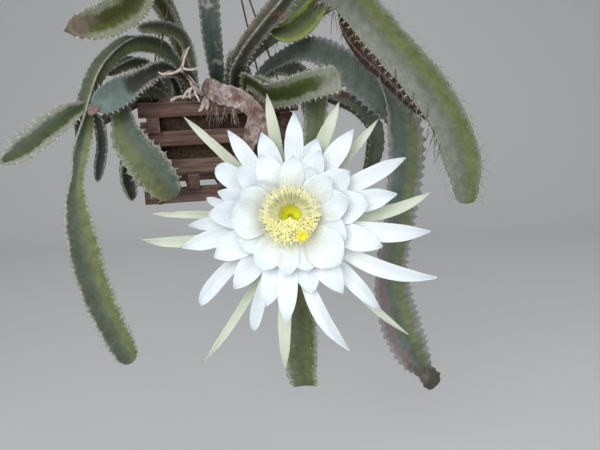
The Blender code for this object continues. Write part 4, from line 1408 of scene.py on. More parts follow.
def all_stems() -> list[Stem]:
    """Every stem of the plant, each with its route, skin and armour.

    Returns:
        The stems, in the order in which they are built.
    """
    hairy = Armour(spines=3, spine=6, hairs=4, hair=13)
    bristly = Armour(spacing=7, spines=6, spine=5, felt=1.3)
    toothed = Armour(spacing=10, spines=3, spine=3.5, felt=0.8)
    sparse = Armour(spacing=13, spines=1, spine=3, felt=0.5, hairs=3, hair=12)
    downy = Armour(spacing=7, spines=4, spine=3.4, felt=1.2, hairs=1, hair=6)
    return [
        Stem("stem_left_trail", [
            rooted(-40, -8) + [
                (-42, -11, 22, 9), (-50, -22, 52, 12), (-64, -44, 72, 13), (-84, -95, 76, 14),
                (-105, -120, 61, 14), (-121, -141, 37, 14), (-129, -163, 6, 13),
                (-133, -174, -22, 13), (-138, -180, -50, 12), (-144, -181, -76, 9),
                (-149, -181, -100, 14), (-150, -180, -130, 20), (-147, -179, -165, 23),
                (-143, -178, -198, 24), (-134, -177, -236, 23), (-123, -175, -271, 22),
                (-111, -173, -303, 19), (-103, -172, -321, 10)],
            [(-129, -163, 3, 6), (-148, -181, -8, 16), (-172, -200, -26, 19),
             (-196, -214, -44, 16), (-215, -222, -54, 4)],
            [(-128, -163, -2, 5), (-121, -151, -18, 8), (-120, -149, -46, 8),
             (-125, -150, -70, 8), (-129, -152, -90, 4)]],
             CactusSkin("#656E46", "#4D584A", "#545E4D", "#9A9B90", 0.08, scurf=0.3), downy,
             twist=(60, 0.46, 0.58), offshoots={
                 1: Offshoot(CactusSkin("#36451A", "#454D41", "#2F3B18", "#7C7E73", 0.42), downy),
                 2: Offshoot(CactusSkin("#2C3029", "#282C27", "#232622", "#64665F", 0.3))}),
        Stem("stem_left_pad", [
            rooted(-34, -42) + [
                (-36, -50, 10, 8), (-40, -74, 34, 9), (-50, -106, 41, 11), (-64, -138, 34, 13),
                (-82, -166, 22, 18), (-98, -188, 12, 20), (-112, -204, 3, 13)],
            [(-106, -199, 6, 5), (-111, -207, -1, 7), (-113, -210, -6, 4)]],
             CactusSkin("#363A32", "#333731", "#31352F", "#78796F", cork="#604840",
                        tip="#667673", tip_from=0.79, scurf=0.5), bristly, rolls=(60,),
             offshoots={1: Offshoot(Bark("#5E4842", "#7C6660", "#8E7B75", "#6A4F47"))}),
        Stem("stem_left_mid", [
            rooted(-60, -20) + [
                (-66, -30, 12, 8), (-74, -52, 41, 10), (-86, -80, 52, 11), (-100, -100, 48, 11),
                (-116, -114, 38, 6)]], GREY_GREEN),
        Stem("stem_left_old", [
            rooted(-54, -46) + [
                (-60, -50, 2, 7), (-84, -66, 2, 7), (-112, -84, -10, 7), (-136, -98, -23, 6)]],
             Bark("#2C2622", "#544A43", "#7D746B", "#4A3424"), None, bark=1000,
             slot="old_stem_brown"),
        Stem("stem_upper_left", [
            rooted(-34, 30) + [
                (-36, 31, 30, 9), (-44, 30, 80, 15), (-56, 16, 122, 18), (-70, -14, 150, 22),
                (-80, -52, 160, 24), (-72, -103, 140, 25), (-76, -148, 114, 25),
                (-97, -192, 95, 24), (-122, -228, 86, 13)]],
             CactusSkin("#474E10", "#40471A", "#323608", "#7A7E6B", 0.46, cork="#543F2A",
                        tip="#6B5E54", tip_from=0.95), bristly, rolls=(60,)),
        Stem("stem_short_left", [
            rooted(-26, 12) + [
                (-27, 11, 30, 8), (-32, 8, 66, 11), (-42, -4, 88, 11), (-62, -26, 96, 12),
                (-88, -46, 95, 7)]],
             CactusSkin("#687048", "#5A5F54", "#4E5540", "#8A8C80", 0.3)),
        Stem("stem_dry", [
            rooted(-14, -30) + [
                (-15, -40, 8, 8), (-18, -70, 27, 11), (-19, -105, 34, 16), (-17, -140, 38, 23),
                (-16, -163, 40, 27)]],
             DryStem(), Armour(spacing=14, spines=2, spine=4, felt=1.2), rolls=(70,), valley=0.1,
             sink=0.16, rib_edge=0.8, ending=Ending.CUT, slot="dry_stem_tan"),
        Stem("stem_upright", [
            rooted(14, -40) + [
                (13, -45, 14, 9), (12, -62, 45, 14), (10, -74, 82, 17), (9, -78, 122, 18),
                (6, -72, 168, 17), (4, -66, 196, 7)]],
             CactusSkin("#44504A", "#3D4943", "#37423D", "#626B65", 0.12, cork="#878B97",
                        cork_share=0.7, scurf=0.2)),
        Stem("stem_rising", [
            rooted(32, -22) + [
                (34, -34, 12, 9), (40, -66, 36, 13), (45, -90, 47, 14), (60, -108, 68, 15),
                (82, -120, 92, 16), (110, -128, 121, 16), (133, -132, 150, 7)]],
             CactusSkin("#575A4A", "#504F48", "#43463A", "#77796F", 0.34, cork="#8A4023",
                        cork_share=0.6, scurf=0.4)),
        Stem("stem_arch_right", [
            rooted(30, 12) + [
                (32, 11, 20, 9), (46, 0, 46, 12), (72, -14, 72, 17), (105, -22, 96, 22),
                (140, -48, 114, 25), (166, -92, 125, 28), (182, -142, 118, 30),
                (197, -182, 96, 30), (226, -200, 59, 30), (258, -210, 21, 31),
                (286, -214, -22, 30), (303, -214, -70, 28), (310, -210, -121, 14)],
            [(174, -112, 122, 6), (177, -126, 96, 9), (181, -140, 78, 12), (196, -157, 54, 14),
             (222, -172, 28, 15), (250, -178, -1, 14), (275, -180, -28, 6)],
            [(163, -86, 124, 6), (151, -91, 114, 15), (133, -90, 94, 19), (113, -88, 82, 18),
             (88, -86, 81, 7)]],
             CactusSkin("#656E46", "#6E736A", "#63685C", "#6B6F64", 0.12, scurf=0.22), hairy,
             rolls=(20, 0, 0), tooth=0.01, rib_reach=(1, 1, 0.82), offshoots={
                 # Its shaded half is painted a dark purple for the shadow under the arch
                 1: Offshoot(CactusSkin("#7A5A24", "#453A3E", "#4C3B30", "#6A4C34", 0.14,
                                        cork="#74491F", cork_share=0.5, scurf=0.0), sparse),
                 2: Offshoot(CactusSkin("#4E5A1E", "#36421A", "#2E3912", "#737E38", 0.34,
                                        scurf=0.2))}),
        Stem("stem_spiny_right", [
            rooted(52, -48) + [
                (54, -58, 8, 9), (58, -84, 24, 12), (72, -114, 20, 15), (90, -142, 10, 18),
                (110, -172, 12, 19), (133, -198, 20, 20), (168, -214, 28, 19)]],
             CactusSkin("#46541A", "#37441A", "#303C10", "#777C6D", 0.46, tip="#84877A",
                        tip_from=0.92, scurf=0.4), bristly,
             rolls=(30,), ending=Ending.BLUNT),
        Stem("stem_right_trail", [
            rooted(54, 8) + [
                (60, 6, 12, 8), (80, -4, 36, 10), (104, -22, 49, 13), (130, -50, 58, 16),
                (153, -82, 57, 21), (178, -112, 42, 26), (208, -138, 17, 27),
                (233, -153, -15, 26), (241, -158, -48, 30), (241, -158, -85, 30),
                (237, -157, -125, 28), (231, -155, -170, 26), (225, -154, -205, 27),
                (226, -152, -243, 31), (234, -151, -281, 33), (249, -150, -319, 30),
                (264, -149, -344, 21), (272, -149, -356, 15), (281, -148, -370, 17),
                (288, -148, -381, 10)]],
             CactusSkin("#667050", "#5E6A64", "#536058", "#7B7A7E", 0.22, cork="#4B3B34",
                        cork_share=0.3, tip="#403B36", tip_from=0.93, painted_lit_from=0.46,
                        scurf=0.25, withered="#6C6160", withered_from=0.62),
             toothed, rolls=(50,), twist=(60, 0.39, 0.5), tooth=0.07),
        Stem("stem_right_inner", [
            rooted(64, -8) + [
                (69, -10, 4, 8), (98, -26, 11, 9), (130, -48, 8, 11), (160, -68, 0, 13),
                (192, -90, -14, 14), (214, -100, -40, 14), (213, -100, -76, 14),
                (201, -98, -115, 6)]],
             CactusSkin("#5C4A40", "#46382F", "#3A2E28", "#76655C", cork="#5F4435",
                        tip="#4C5646", tip_from=0.6)),
        Stem("stem_front_hanger", [
            rooted(68, -34) + [
                (76, -36, 2, 8), (98, -42, 12, 9), (120, -66, 22, 11), (134, -100, 22, 15),
                (142, -130, 4, 19), (142, -148, -27, 18), (135, -153, -78, 17),
                (122, -155, -153, 17), (112, -155, -237, 19), (118, -155, -275, 24),
                (117, -155, -310, 27), (116, -155, -344, 26), (120, -155, -368, 21)]],
             CactusSkin("#646A42", "#59604A", "#50573F", "#7C8071", 0.2, scurf=0.7),
             ending=Ending.BLUNT),
        Stem("stem_woody", [
            rooted(-2, -58) + [
                (0, -64, 4, 8), (5, -88, 13, 9), (14, -118, 16, 13), (30, -148, 10, 15),
                (58, -168, 2, 14), (78, -180, -20, 12), (86, -184, -47, 10), (88, -184, -60, 8)],
            [(70, -174, -8, 5), (66, -181, -24, 10), (62, -186, -42, 11), (57, -188, -60, 5)]],
             Bark(), None, bark=110, valley=0.3, slot="old_stem_brown"),
        Stem("stem_front_pad", [
            rooted(-47, -72) + [
                (-50, -74, 2, 8), (-62, -80, 13, 9), (-78, -90, 16, 10), (-92, -110, 12, 10),
                (-94, -130, 0, 12), (-92, -146, -12, 15), (-88, -154, -22, 18),
                (-84, -157, -36, 24), (-73, -160, -54, 29), (-57, -161, -75, 30),
                (-44, -161, -95, 25), (-33, -160, -111, 13)],
            [(-78, -156, -40, 8), (-90, -145, -58, 10), (-96, -141, -78, 14),
             (-96, -140, -98, 14), (-91, -139, -118, 6)]],
             CactusSkin("#515E57", "#58603B", "#505839", "#6E7261", 0.14, cork="#604840",
                        scurf=0.4),
             toothed, rolls=(90, 90), offshoots={
                 1: Offshoot(CactusSkin("#35372B", "#2B2D24", "#22211B", "#7A7C70", 0.3),
                             toothed)}),
        Stem("stem_back_left", [
            rooted(-44, 52) + [
                (-48, 56, 20, 12), (-62, 84, 44, 18), (-76, 118, 26, 19), (-82, 132, -20, 19),
                (-84, 134, -78, 7)]], DEEP_GREEN),
        Stem("stem_back_middle", [
            rooted(16, 54) + [
                (18, 58, 20, 12), (26, 88, 48, 17), (34, 122, 30, 19), (38, 134, -22, 19),
                (40, 136, -92, 7)]], GREY_GREEN),
        Stem("stem_back_right", [
            rooted(54, 42) + [
                (62, 46, 18, 12), (92, 60, 40, 17), (122, 78, 22, 19), (136, 84, -26, 19),
                (140, 86, -88, 7)]], DEEP_GREEN),
    ]


@dataclass
class Plant:
    """All the stems and the roots that hang from them, in millimetres."""

    hanging_roots: tuple[Points, ...] = (
        ((8, -112, 12, 1.4), (4, -118, 0, 1.1), (2, -120, -16, 0.5)),
        ((16, -120, 10, 1.4), (14, -126, -4, 1.1), (9, -127, -28, 0.5)),
        ((24, -138, 6, 1.6), (21, -143, -10, 1.2), (24, -145, -26, 0.5)),
        ((34, -148, 2, 1.5), (32, -155, -10, 1.1), (28, -158, -22, 0.5)),
        ((46, -160, 0, 1.5), (43, -167, -13, 1.1), (45, -169, -27, 0.5)),
    )
    claw_roots: tuple[Points, ...] = (
        ((10, -106, 12, 2.4), (3, -122, 10, 2.8), (-2, -136, 15, 3.0), (-7, -144, 23, 2.2),
         (-9, -147, 31, 1.0)),
        ((-5, -140, 19, 2.2), (-12, -145, 15, 1.6), (-16, -146, 10, 1.3), (-19, -146, 5, 0.8)),
        ((-4, -139, 17, 2.2), (-3, -144, 11, 1.6), (0, -147, 6, 1.3), (2, -148, 1, 0.8)),
        ((-8, -142, 18, 1.8), (-10, -146, 12, 1.3), (-9, -148, 5, 0.8)),
        ((-3, -128, 12, 2.2), (-14, -136, 8, 2.0), (-24, -138, 8, 1.5), (-32, -138, 5, 2.2),
         (-35, -137, 2, 1.0)),
        ((6, -116, 8, 2.4), (4, -126, -1, 3.2), (1, -130, -8, 2.6), (-3, -131, -11, 1.2)),
        ((8, -118, 8, 2.2), (9, -128, -3, 2.6), (7, -131, -10, 1.4)),
    )
    dry_edges: tuple[Points, ...] = (
        ((-14, -163, 42, 1.6), (-10, -164, 54, 1.5), (-6, -165, 62, 1.2), (-3, -165, 66, 0.8)),
        ((-14, -163, 42, 1.6), (-20, -164, 38, 1.6), (-28, -165, 36, 1.5), (-38, -165, 36, 1.3),
         (-42, -165, 39, 0.8)),
        ((-14, -163, 42, 1.6), (-8, -164, 40, 1.5), (0, -165, 40, 1.3), (8, -165, 43, 0.8)),
    )
    rootlet_count: int = 5
    arch_root_count: int = 34
    arch_root_share: tuple[float, float] = (0.48, 0.86)
    arch_root_drop: tuple[float, float] = (14, 42)
    arch_root_radius: tuple[float, float] = (0.25, 0.6)

    def build(self) -> None:
        """Build the stems, then the roots."""
        tools = ArmourTools()
        draw = random.Random(7)
        stems = all_stems()
        for stem in stems:
            stem.build(draw, tools)
        self.build_roots(draw)
        arch = next(stem for stem in stems if stem.node == "stem_arch_right")
        self.build_arch_roots(arch, draw)

    def build_roots(self, draw: random.Random) -> None:
        """The hanging roots with their rootlets, the claw roots and the withered stem's edges.

        Args:
            draw: The source of the rootlets' drift.
        """
        roots = Cluster()
        for route in self.hanging_roots:
            roots.take(plain_tube(route, 2, 7))
            for _ in range(self.rootlet_count):
                drift = Vector((draw.uniform(-5, 5), draw.uniform(-4, 4), draw.uniform(-3, 3)))
                thin = [(*(Vector(point[:3]) + drift * (0.2 + index * 0.5)), point[3] * 0.35)
                        for index, point in enumerate(route)]
                roots.take(plain_tube(thin, 3, 4))
        # Dry roots: matt brown skin that flakes paler
        finish = Grained("#4A372D", "#9C8A80", 4, 0.4, 0.85).material("hanging_roots")
        add_piece("hanging_roots", roots.bm, finish, "old_stem_brown")
        # Young root bark: chalky and pinkish grey
        pale = Grained("#8C7D74", "#C9C0BA", 3, 0.4, 0.85).material("young_roots")
        add_piece("claw_roots", tubes(self.claw_roots, 1.5, 8), pale, "old_stem_brown")
        # Sun-bleached skin: papery and nearly white
        bleached = Grained("#8F857C", "#BDB4AC", 4, 0.4, 0.85).material("bleached_edges")
        add_piece("dry_stem_edges", tubes(self.dry_edges, 1.5, 8), bleached, "dry_stem_tan")

    def build_arch_roots(self, arch: Stem, draw: random.Random) -> None:
        """Aerial roots that hang from the underside of the arching stem, painted dark for the shade
        there.

        Each one hangs down, bows a little to a side and thins towards its tip.

        Args:
            arch: The stem that they hang from.
            draw: The source of their places and sizes.
        """
        routes = []
        stations = walk(arch.routes[0], 4)
        low, high = (round(len(stations) * share) for share in self.arch_root_share)
        for _ in range(self.arch_root_count):
            station = stations[draw.randint(low, high)]
            start = to_rim(station.place) - Vector(
                (draw.uniform(4, 12), draw.uniform(-6, 6), station.reach / MM * 0.35))
            drop = draw.uniform(*self.arch_root_drop)
            bow = Vector((draw.uniform(-7, 5), draw.uniform(-7, 5), -drop * 0.5))
            end = start + bow * 1.6 + Vector((draw.uniform(-8, 2), 0, -drop * 0.2))
            thick = draw.uniform(*self.arch_root_radius)
            routes.append([(*start, thick), (*(start + bow), thick * 0.8), (*end, thick * 0.4)])
        # Aerial roots: wiry and matt, painted almost black for the shade under the arch
        finish = Grained("#241A14", "#5C4A3A", 3, 0.2, 0.85).material("aerial_roots")
        add_piece("aerial_roots", tubes(routes, 4, 4), finish, "old_stem_brown")


# The flower

class Whorl(Enum):
    """A whorl of blades: where it starts, its back, its rise forward and how slowly it rises."""

    INNER = (12, -61, 79, 28)
    MIDDLE = (12, -63.5, 66, 32)
    OUTER = (12, -66, 53, 34)
    SEPAL = (15.5, -71, 34, 45)


class Outline(Enum):
    """Half widths along a blade, as shares of its full half width."""

    BROAD = ((0, 0.3), (0.2, 0.58), (0.42, 0.9), (0.62, 1.0), (0.78, 0.86), (0.91, 0.5),
             (1, 0.05))
    NARROW = ((0, 0.5), (0.3, 0.72), (0.6, 1.0), (0.8, 0.84), (0.92, 0.42), (1, 0.04))
    BLUNT = ((0, 0.45), (0.3, 0.7), (0.65, 0.98), (0.85, 0.95), (0.95, 0.7), (1, 0.2))
    STRAP = ((0, 0.6), (0.3, 0.85), (0.6, 1.0), (0.85, 0.7), (1, 0.05))


@dataclass(frozen=True)
class Blade:
    """A petal or sepal: its tip's angle in degrees and radius, its width and its swing."""

    whorl: Whorl
    angle: float
    tip: float
    width: float
    bend: float = 0
    outline: Outline = Outline.BROAD


INNER = [(113, 70, 27), (85, 62, 25), (65, 55, 27), (42, 57, 30), (14, 62, 33), (-22, 62, 35),
         (-45, 70, 42), (-71, 59, 30), (-95, 60, 24), (-122, 62, 31), (-150, 60, 33),
         (180, 61, 42), (155, 57, 31), (132, 50, 30)]
MIDDLE = [(134, 74, 26), (64, 75, 26), (35, 77, 31), (8, 82, 35), (-20, 100, 26), (-57, 95, 26),
          (-75, 82, 28), (-94, 109, 21), (-107, 95, 25), (-130, 94, 26), (-154, 88, 29),
          (176, 84, 28), (159, 79, 21)]
OUTER = [(124, 112, 17, 0), (107, 94, 23, 0), (86, 109, 20, 2), (69, 87, 26, 0),
         (52, 114, 21, 0), (25, 136, 18, 0), (10, 115, 23, 0), (-8, 149, 20, 6),
         (-24.5, 167, 17, 12), (-48, 138, 17, 0), (-68, 154, 16, 12), (-110, 126, 14, 4),
         (-138, 133, 16, 6), (-166, 118, 20, 0), (-177, 109, 15, 0), (166, 90, 10, -5),
         (144, 94, 23, 0)]
SEPALS = [(135, 158, 10, 0), (99, 136, 13, 0), (65, 135, 15, 0), (46, 142, 10, 2),
          (8, 154, 14, 12), (-47, 181, 9, 5), (-94, 167, 15, 2), (-123, 185, 10, -4),
          (-173, 164, 13, -8), (177, 150, 8, 0)]
BLUNT_TIPS = (-138, -110, 144, 166)


@dataclass
class Flower:
    """One open flower on its tube. Sizes are in millimetres, from the flower's middle."""

    middle: Vector = field(default_factory=lambda: Vector((107, -300, -109)))
    lift: float = math.radians(12.5)
    channel: float = 0.22
    layer_spread: float = 8
    lean: float = 0.15
    blade_thickness: float = 0.75
    edge_wander: float = 0.06
    wave: float = 2.4
    frill: float = 1.1
    outer_curl: float = -5.0
    inner_curl: float = 2.0
    groove: float = -0.5
    scale_count: int = 44
    scale_length: float = 9
    scale_growth: float = 5
    scale_reach: float = 2.6
    scale_thickness: float = 0.7
    stamen_count: int = 1500
    fan_reach: float = 29
    reach_spread: tuple[float, float] = (-5, 3.5)
    brush_depth: float = 23
    brush_front: float = 11
    root_ring: tuple[float, float] = (8.6, 12.4)
    root_front: float = -60
    filament_radii: tuple[float, ...] = (0.42, 0.36, 0.32, 0.28)
    anther_size: tuple[float, float] = (0.75, 1.15)
    lobe_count: int = 14
    tube_route: Points = (
        (88, -184, -61, 6.5), (90, -186, -84, 6.8), (96, -194, -106, 7.4),
        (103, -208, -120, 8.4), (107, -221, -126, 9.4))

    def __post_init__(self) -> None:
        """Work out the flower's own axes."""
        self.forward = Vector((0, -math.cos(self.lift), math.sin(self.lift)))
        self.right = Vector((1, 0, 0))
        self.up = self.forward.cross(self.right)

    def point(self, radius: float, angle: float, front: float) -> Vector:
        """A place by radius, angle and distance forward, in millimetres from the rim."""
        around = self.right * math.cos(angle) + self.up * math.sin(angle)
        return self.middle + around * radius + self.forward * front

    def axes(self) -> Matrix:
        """The flower's axes as a matrix whose own Z points forward."""
        turn = Matrix((self.right, self.up, self.forward)).transposed().to_4x4()
        return Matrix.Translation(from_rim(self.middle)) @ turn

    def build(self) -> None:
        """Build the petals, the tube with its sepals, the stamens and the style."""
        self.build_petals()
        self.build_tube()
        self.build_stamens()
        self.build_style()

    def blade(self, blade: Blade, layer: float, lean: float, seed: float
              ) -> bmesh.types.BMesh:
        """Shape one petal: a channelled, waved sheet with the thickness of petal tissue.

        Args:
            blade: Its sizes.
            layer: How far forward of its whorl it lies.
            lean: How much one edge lies forward of the other.
            seed: Where its waves are read from.

        Returns:
            The closed blade.
        """
        start, back, rise, ease = blade.whorl.value
        slim = blade.whorl in (Whorl.OUTER, Whorl.SEPAL)

        def place(u: float, v: float) -> Vector:
            """The middle of the sheet.

            Args:
                u: The share across.
                v: The share along.

            Returns:
                The point, in metres.
            """
            radius = start + (blade.tip - start) * v
            front = back + rise * (1 - math.exp(-(radius - start) / ease))
            front += layer * (0.35 + 0.65 * v)
            half = read_curve(blade.outline.value, v) * blade.width / 2
            half *= 1 + self.edge_wander * noise.noise(
                Vector((v * 5, seed, 1 if u > 0.5 else 9)))
            side = 2 * u - 1
            out = side * half
            cup = self.channel * abs(out) * (abs(side) ** 0.5)
            wave = noise.noise(Vector((v * 3.2, u * 1.4, seed))) * self.wave * v
            frill = noise.noise(Vector((v * 9, u * 2, seed + 5))) * self.frill * side ** 2 * v
            curl = (self.outer_curl * soft_step(0.72, 1.0, v) if slim
                    else self.inner_curl * soft_step(0.8, 1.0, v))
            groove = self.groove * math.exp(-(side / 0.09) ** 2) * (1 - v)
            turn = math.radians(blade.angle + blade.bend * (v * v - 1)) + math.atan2(out, radius)
            forward = front + cup + lean * out + wave + frill + curl + groove
            return from_rim(self.point(math.hypot(radius, out), turn, forward))

        values = {"along": lambda u, v: v, "across": lambda u, v: 2 * u - 1}
        return thicken(placed_grid(8 if slim else 12, 30, place, values), self.blade_thickness)

    def build_petals(self) -> None:
        """The white petals of the three inner whorls and the collar that they grow from."""
        blades = [Blade(Whorl.INNER, *sizes) for sizes in INNER]
        blades += [Blade(Whorl.MIDDLE, *sizes) for sizes in MIDDLE]
        for sizes in OUTER:
            outline = Outline.BLUNT if sizes[0] in BLUNT_TIPS else Outline.NARROW
            blades.append(Blade(Whorl.OUTER, *sizes, outline=outline))
        petals = Cluster()
        for index, blade in enumerate(blades):
            layer = (index * GOLDEN_SHARE % 1 - 0.5) * self.layer_spread
            petals.take(self.blade(blade, layer, self.lean * math.sin(2.4 * index), index * 3.7))
        collar = [(9, -73.7), (13.7, -73.7), (13.7, -59), (9, -59)]
        petals.take(turned(collar, 48, self.axes()))
        # Petal tissue: white and cream at its root, with a painted warm glow near the root and a
        # painted cool blue-grey shade at its tip
        white = Petal("#FFFFD4", "#F8FAEA", "#EAF1F3", "#D3E0E9", "#D4E0E6").material(
            "petal_tissue")
        add_piece("white_petals", petals.bm, white, "petal_white", ("flower_petals",), 60)

    def build_tube(self) -> None:
        """The green tube with its scales, the cup at its mouth and the outermost sepals."""
        sepals = Cluster()
        for index, sizes in enumerate(SEPALS):
            blade = Blade(Whorl.SEPAL, *sizes, outline=Outline.STRAP)
            sepals.take(self.blade(blade, 0, 0, 200 + index * 2.9))
        # Sepal tissue: pale green that whitens towards its tip
        pale = Petal("#A8B26C", "#BFC8A8", "#CAD3BC", "#D0D8C6", "#B0BA8E").material("sepal_tissue")
        add_piece("green_sepals", sepals.bm, pale, "sepal_green")
        tube = Cluster()
        tube.take(plain_tube(self.tube_route, 3, 24))
        cup = [(1, -84), (9.5, -84), (14.5, -80), (17.5, -76), (18.1, -68), (14.3, -68),
               (14.3, -74), (1, -74)]
        tube.take(turned(cup, 48, self.axes()))
        stations = walk(self.tube_route, 4.5)
        for index in range(self.scale_count):
            station = stations[int(index / self.scale_count * (len(stations) - 2)) + 1]
            long = self.scale_length + self.scale_growth * index / self.scale_count
            tube.take(self.scale(station, GOLDEN_ANGLE * index, long))
        # Fleshy tube skin: soft green with a low waxy sheen
        skin = Grained("#6C7F45", "#A9B474", 9, 0.4, 0.55).material("flower_tube_skin")
        add_piece("green_tube", tube.bm, skin, "sepal_green", ("flower_tube",), 50)

    def scale(self, station: Station, turn: float, length: float) -> bmesh.types.BMesh:
        """One scale of the tube: a small pointed blade that lies along it.

        Args:
            station: Where it grows.
            turn: Its turn about the tube, in radians.
            length: Its length, in millimetres.

        Returns:
            The closed scale.
        """
        out = station.around(turn)
        across = station.travel.cross(out)
        outline = ((0, 0.8), (0.4, 1.0), (1, 0.05))

        def place(u: float, v: float) -> Vector:
            """The scale's middle sheet.

            Args:
                u: The share across.
                v: The share along.

            Returns:
                The point, in metres.
            """
            half = read_curve(outline, v) * self.scale_reach * (2 * u - 1)
            stand = 0.5 + 3.5 * v * v - 0.12 * half * half
            return (station.place + out * (station.reach + (stand - 0.8) * MM)
                    + across * half * MM + station.travel * (v * length * MM))

        return thicken(placed_grid(4, 7, place), self.scale_thickness)

    def build_stamens(self) -> None:
        """A fan of filaments above the throat and a thick brush of anthers below it."""
        draw = random.Random(3)
        anther = crumb(1)
        filaments, anthers = Cluster(), Cluster()
        for index in range(self.stamen_count):
            angle = GOLDEN_ANGLE * index + draw.uniform(-0.04, 0.04)
            if math.sin(angle) > -0.1 and index % 2:
                angle = -angle
            # 1 straight below the middle, where the brush is thickest, and 0 beside and above
            low = max(0.0, -math.sin(angle))
            depth = self.brush_depth * low ** 0.45 * draw.random() ** 0.75
            reach = self.fan_reach - depth + draw.uniform(*self.reach_spread)
            front = draw.uniform(-4, 3) + self.brush_front * low * (0.4 + 0.6 * depth / 20)
            root = self.point(draw.uniform(*self.root_ring), angle, self.root_front)
            bowed = self.point(13.5 + 3 * draw.random() - 3.5 * low, angle, -28 + 6 * low)
            tip = self.point(reach, angle, front)
            places = (root, bowed, root.lerp(tip, 0.7).lerp(bowed, 0.25), tip)
            route = [(*place, radius) for place, radius in zip(places, self.filament_radii)]
            filaments.take(plain_tube(route, 11, 4))
            face = (self.forward + self.up * draw.gauss(0.2, 0.5)
                    + self.right * draw.gauss(0, 0.5)).normalized()
            size = draw.uniform(*self.anther_size) * (0.5 + 0.52 * low) * MM
            anthers.stamp(anther, facing(from_rim(tip), face, (size, size, size * 1.5)))
        # Filaments: thin and glassy, so they glow pale yellow
        pale = Filament().material("filament_tissue")
        # Pollen: a dusty, quite matt cream yellow
        pollen = Grained("#F3E98E", "#FDFACC", 1.2, 0.3, 0.9).material("pollen")
        add_piece("filaments", filaments.bm, pale, "stamen_yellow", ("flower_stamens",))
        add_piece("anthers", anthers.bm, pollen, "stamen_yellow")
        throat = [(2.2, -50), (6, -49), (10, -45.5), (14, -39), (13.4, -38.6), (9.6, -46.4),
                  (6, -50), (2.2, -51.2)]
        # Moist throat tissue: bright green yellow and satin
        nectar = Grained("#CFD016", "#E9E93C", 6, 0.3, 0.5).material("throat_lining")
        add_piece("throat", turned(throat, 48, self.axes()), nectar, "stamen_yellow")

    def build_style(self) -> None:
        """The thick style and the curled lobes of its stigma."""
        ends = [(self.point(0, 0, -73.7), 1.7), (self.point(0, 0, -50), 1.8),
                (self.middle + self.forward * -22 + self.right * 2 - self.up * 4, 1.8),
                (self.middle + self.forward * 6 + self.right * 7 - self.up * 12, 1.9),
                (self.middle + self.forward * 26 + self.right * 11.5 - self.up * 19, 2.1)]
        route = [(*place, radius) for place, radius in ends]
        # Style flesh: smooth, waxy and green yellow
        flesh = Grained("#C9CC5A", "#E4E69A", 4, 0.15, 0.5).material("style_flesh")
        add_piece("style", plain_tube(route, 2.5, 14), flesh, "stigma_orange", ("flower_style",))
        lobes = []
        end = walk(route, 2.5)[-1]
        top = to_rim(end.place)
        for index in range(self.lobe_count):
            out = end.around(math.tau * index / self.lobe_count)
            rise = 0.6 + 0.4 * (index % 2)
            lobes.append([(*(top - end.travel * 2), 0.8),
                          (*(top + out * 2.2 + end.travel * 1.8 * rise), 0.95),
                          (*(top + out * 5.0 + end.travel * 3.6 * rise), 0.8),
                          (*(top + out * 6.8 + end.travel * 3.0 * rise), 0.5)])
        # Stigma tissue: waxy, deep yellow lobes
        wax = Grained("#E0C628", "#F3E54A", 3, 0.25, 0.5).material("stigma_wax")
        add_piece("stigma", tubes(lobes, 1.2, 7), wax, "stigma_orange")


# The studio

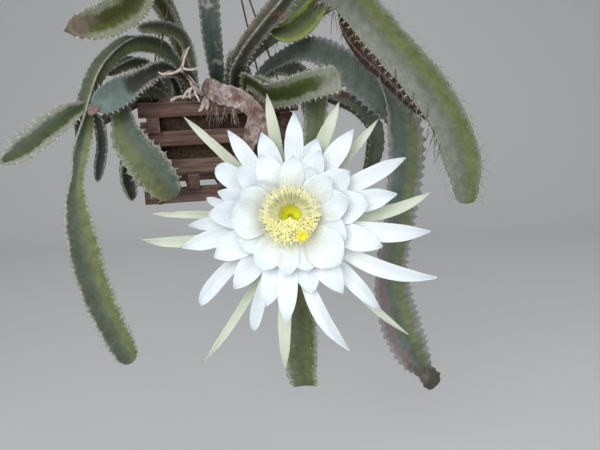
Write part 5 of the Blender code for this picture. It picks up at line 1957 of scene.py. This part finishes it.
@dataclass
class Studio:
    """A pale floor that curves up into a wall, soft lights and the camera.

    Sizes are in metres. A light is its name, its place, the length of its sides and its watts.
    """

    eye: tuple[float, float, float] = (0.117, -1.0, -0.353)
    pitch: float = math.radians(13.3)
    roll: float = math.radians(2.0)
    lens: float = 42.0
    sensor: float = 36.0
    floor: float = -1.0
    wall: float = 2.2
    bend: float = 0.8
    width: float = 9.0
    depth: float = 7.0
    height: float = 3.0
    paper: str = "#BDBFC1"
    air: str = "#F2F2F0"
    air_strength: float = 0.5
    lights: tuple[tuple[str, tuple[float, float, float], float, float], ...] = (
        ("key", (-0.36, -1.9, 0.24), 1.1, 30), ("fill", (1.3, -1.5, -0.1), 1.4, 12),
        ("top", (0.2, 0.5, 1.3), 1.2, 14))
    aim: tuple[float, float, float] = (0.06, -0.15, -0.42)

    def build(self) -> None:
        """Set up the floor, the lights and the camera."""
        self.build_floor()
        for light in self.lights:
            self.build_light(*light)
        bpy.context.scene.view_settings.view_transform = "Standard"
        world = bpy.data.worlds.new("studio")
        world.use_nodes = True
        inputs = world.node_tree.nodes["Background"].inputs
        inputs["Color"].default_value = linear(self.air)
        inputs["Strength"].default_value = self.air_strength
        bpy.context.scene.world = world
        camera = bpy.data.objects.new("camera", bpy.data.cameras.new("camera"))
        camera.data.lens = self.lens
        camera.data.sensor_width = self.sensor
        camera.data.clip_start = 0.01
        camera.matrix_world = (Matrix.Translation(self.eye)
                               @ Matrix.Rotation(math.radians(90) - self.pitch, 4, "X")
                               @ Matrix.Rotation(-self.roll, 4, "Z"))
        bpy.context.scene.collection.objects.link(camera)
        bpy.context.scene.camera = camera

    def build_floor(self) -> None:
        """A floor that bends up into the wall behind the plant."""
        quarter = self.bend * math.pi / 2
        flat = self.depth - self.bend

        def place(u: float, v: float) -> Vector:
            """Flat, then a quarter circle, then upright.

            Args:
                u: The share across.
                v: The share along.

            Returns:
                The point, in metres.
            """
            run = v * (self.depth + quarter + self.height)
            x = (u - 0.5) * self.width
            if run <= flat:
                return Vector((x, run - self.depth + self.wall - self.bend, self.floor))
            turn = min(1.0, (run - flat) / quarter) * math.pi / 2
            y = self.wall - self.bend + math.sin(turn) * self.bend
            z = self.floor + (1 - math.cos(turn)) * self.bend
            return Vector((x, y, z + max(0.0, run - flat - quarter)))

        mesh = as_mesh(placed_grid(2, 120, place), "studio_floor")
        _node, shader = start_finish("studio_paper", Roughness=0.9)
        shader.inputs["Base Color"].default_value = linear(self.paper)
        mesh.materials.append(owner_of(shader))
        mesh.shade_smooth()
        floor = bpy.data.objects.new("studio_floor", mesh)
        bpy.context.scene.collection.objects.link(floor)

    def build_light(self, name: str, place: Sequence[float], size: float, power: float) -> None:
        """A square soft light that faces the plant.

        Args:
            name: The light's name.
            place: Where it stands.
            size: The length of its sides.
            power: Its watts.
        """
        lamp = bpy.data.lights.new(name, "AREA")
        lamp.size = size
        lamp.energy = power
        light = bpy.data.objects.new(name, lamp)
        light.matrix_world = facing(Vector(place), Vector(place) - Vector(self.aim))
        bpy.context.scene.collection.objects.link(light)


def main() -> None:
    """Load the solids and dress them."""
    logging.basicConfig(level=logging.INFO, format="%(name)s %(message)s")
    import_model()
    Studio().build()
    Basket().build()
    Hanger().build()
    Plant().build()
    Flower().build()


if __name__ == "__main__":
    main()
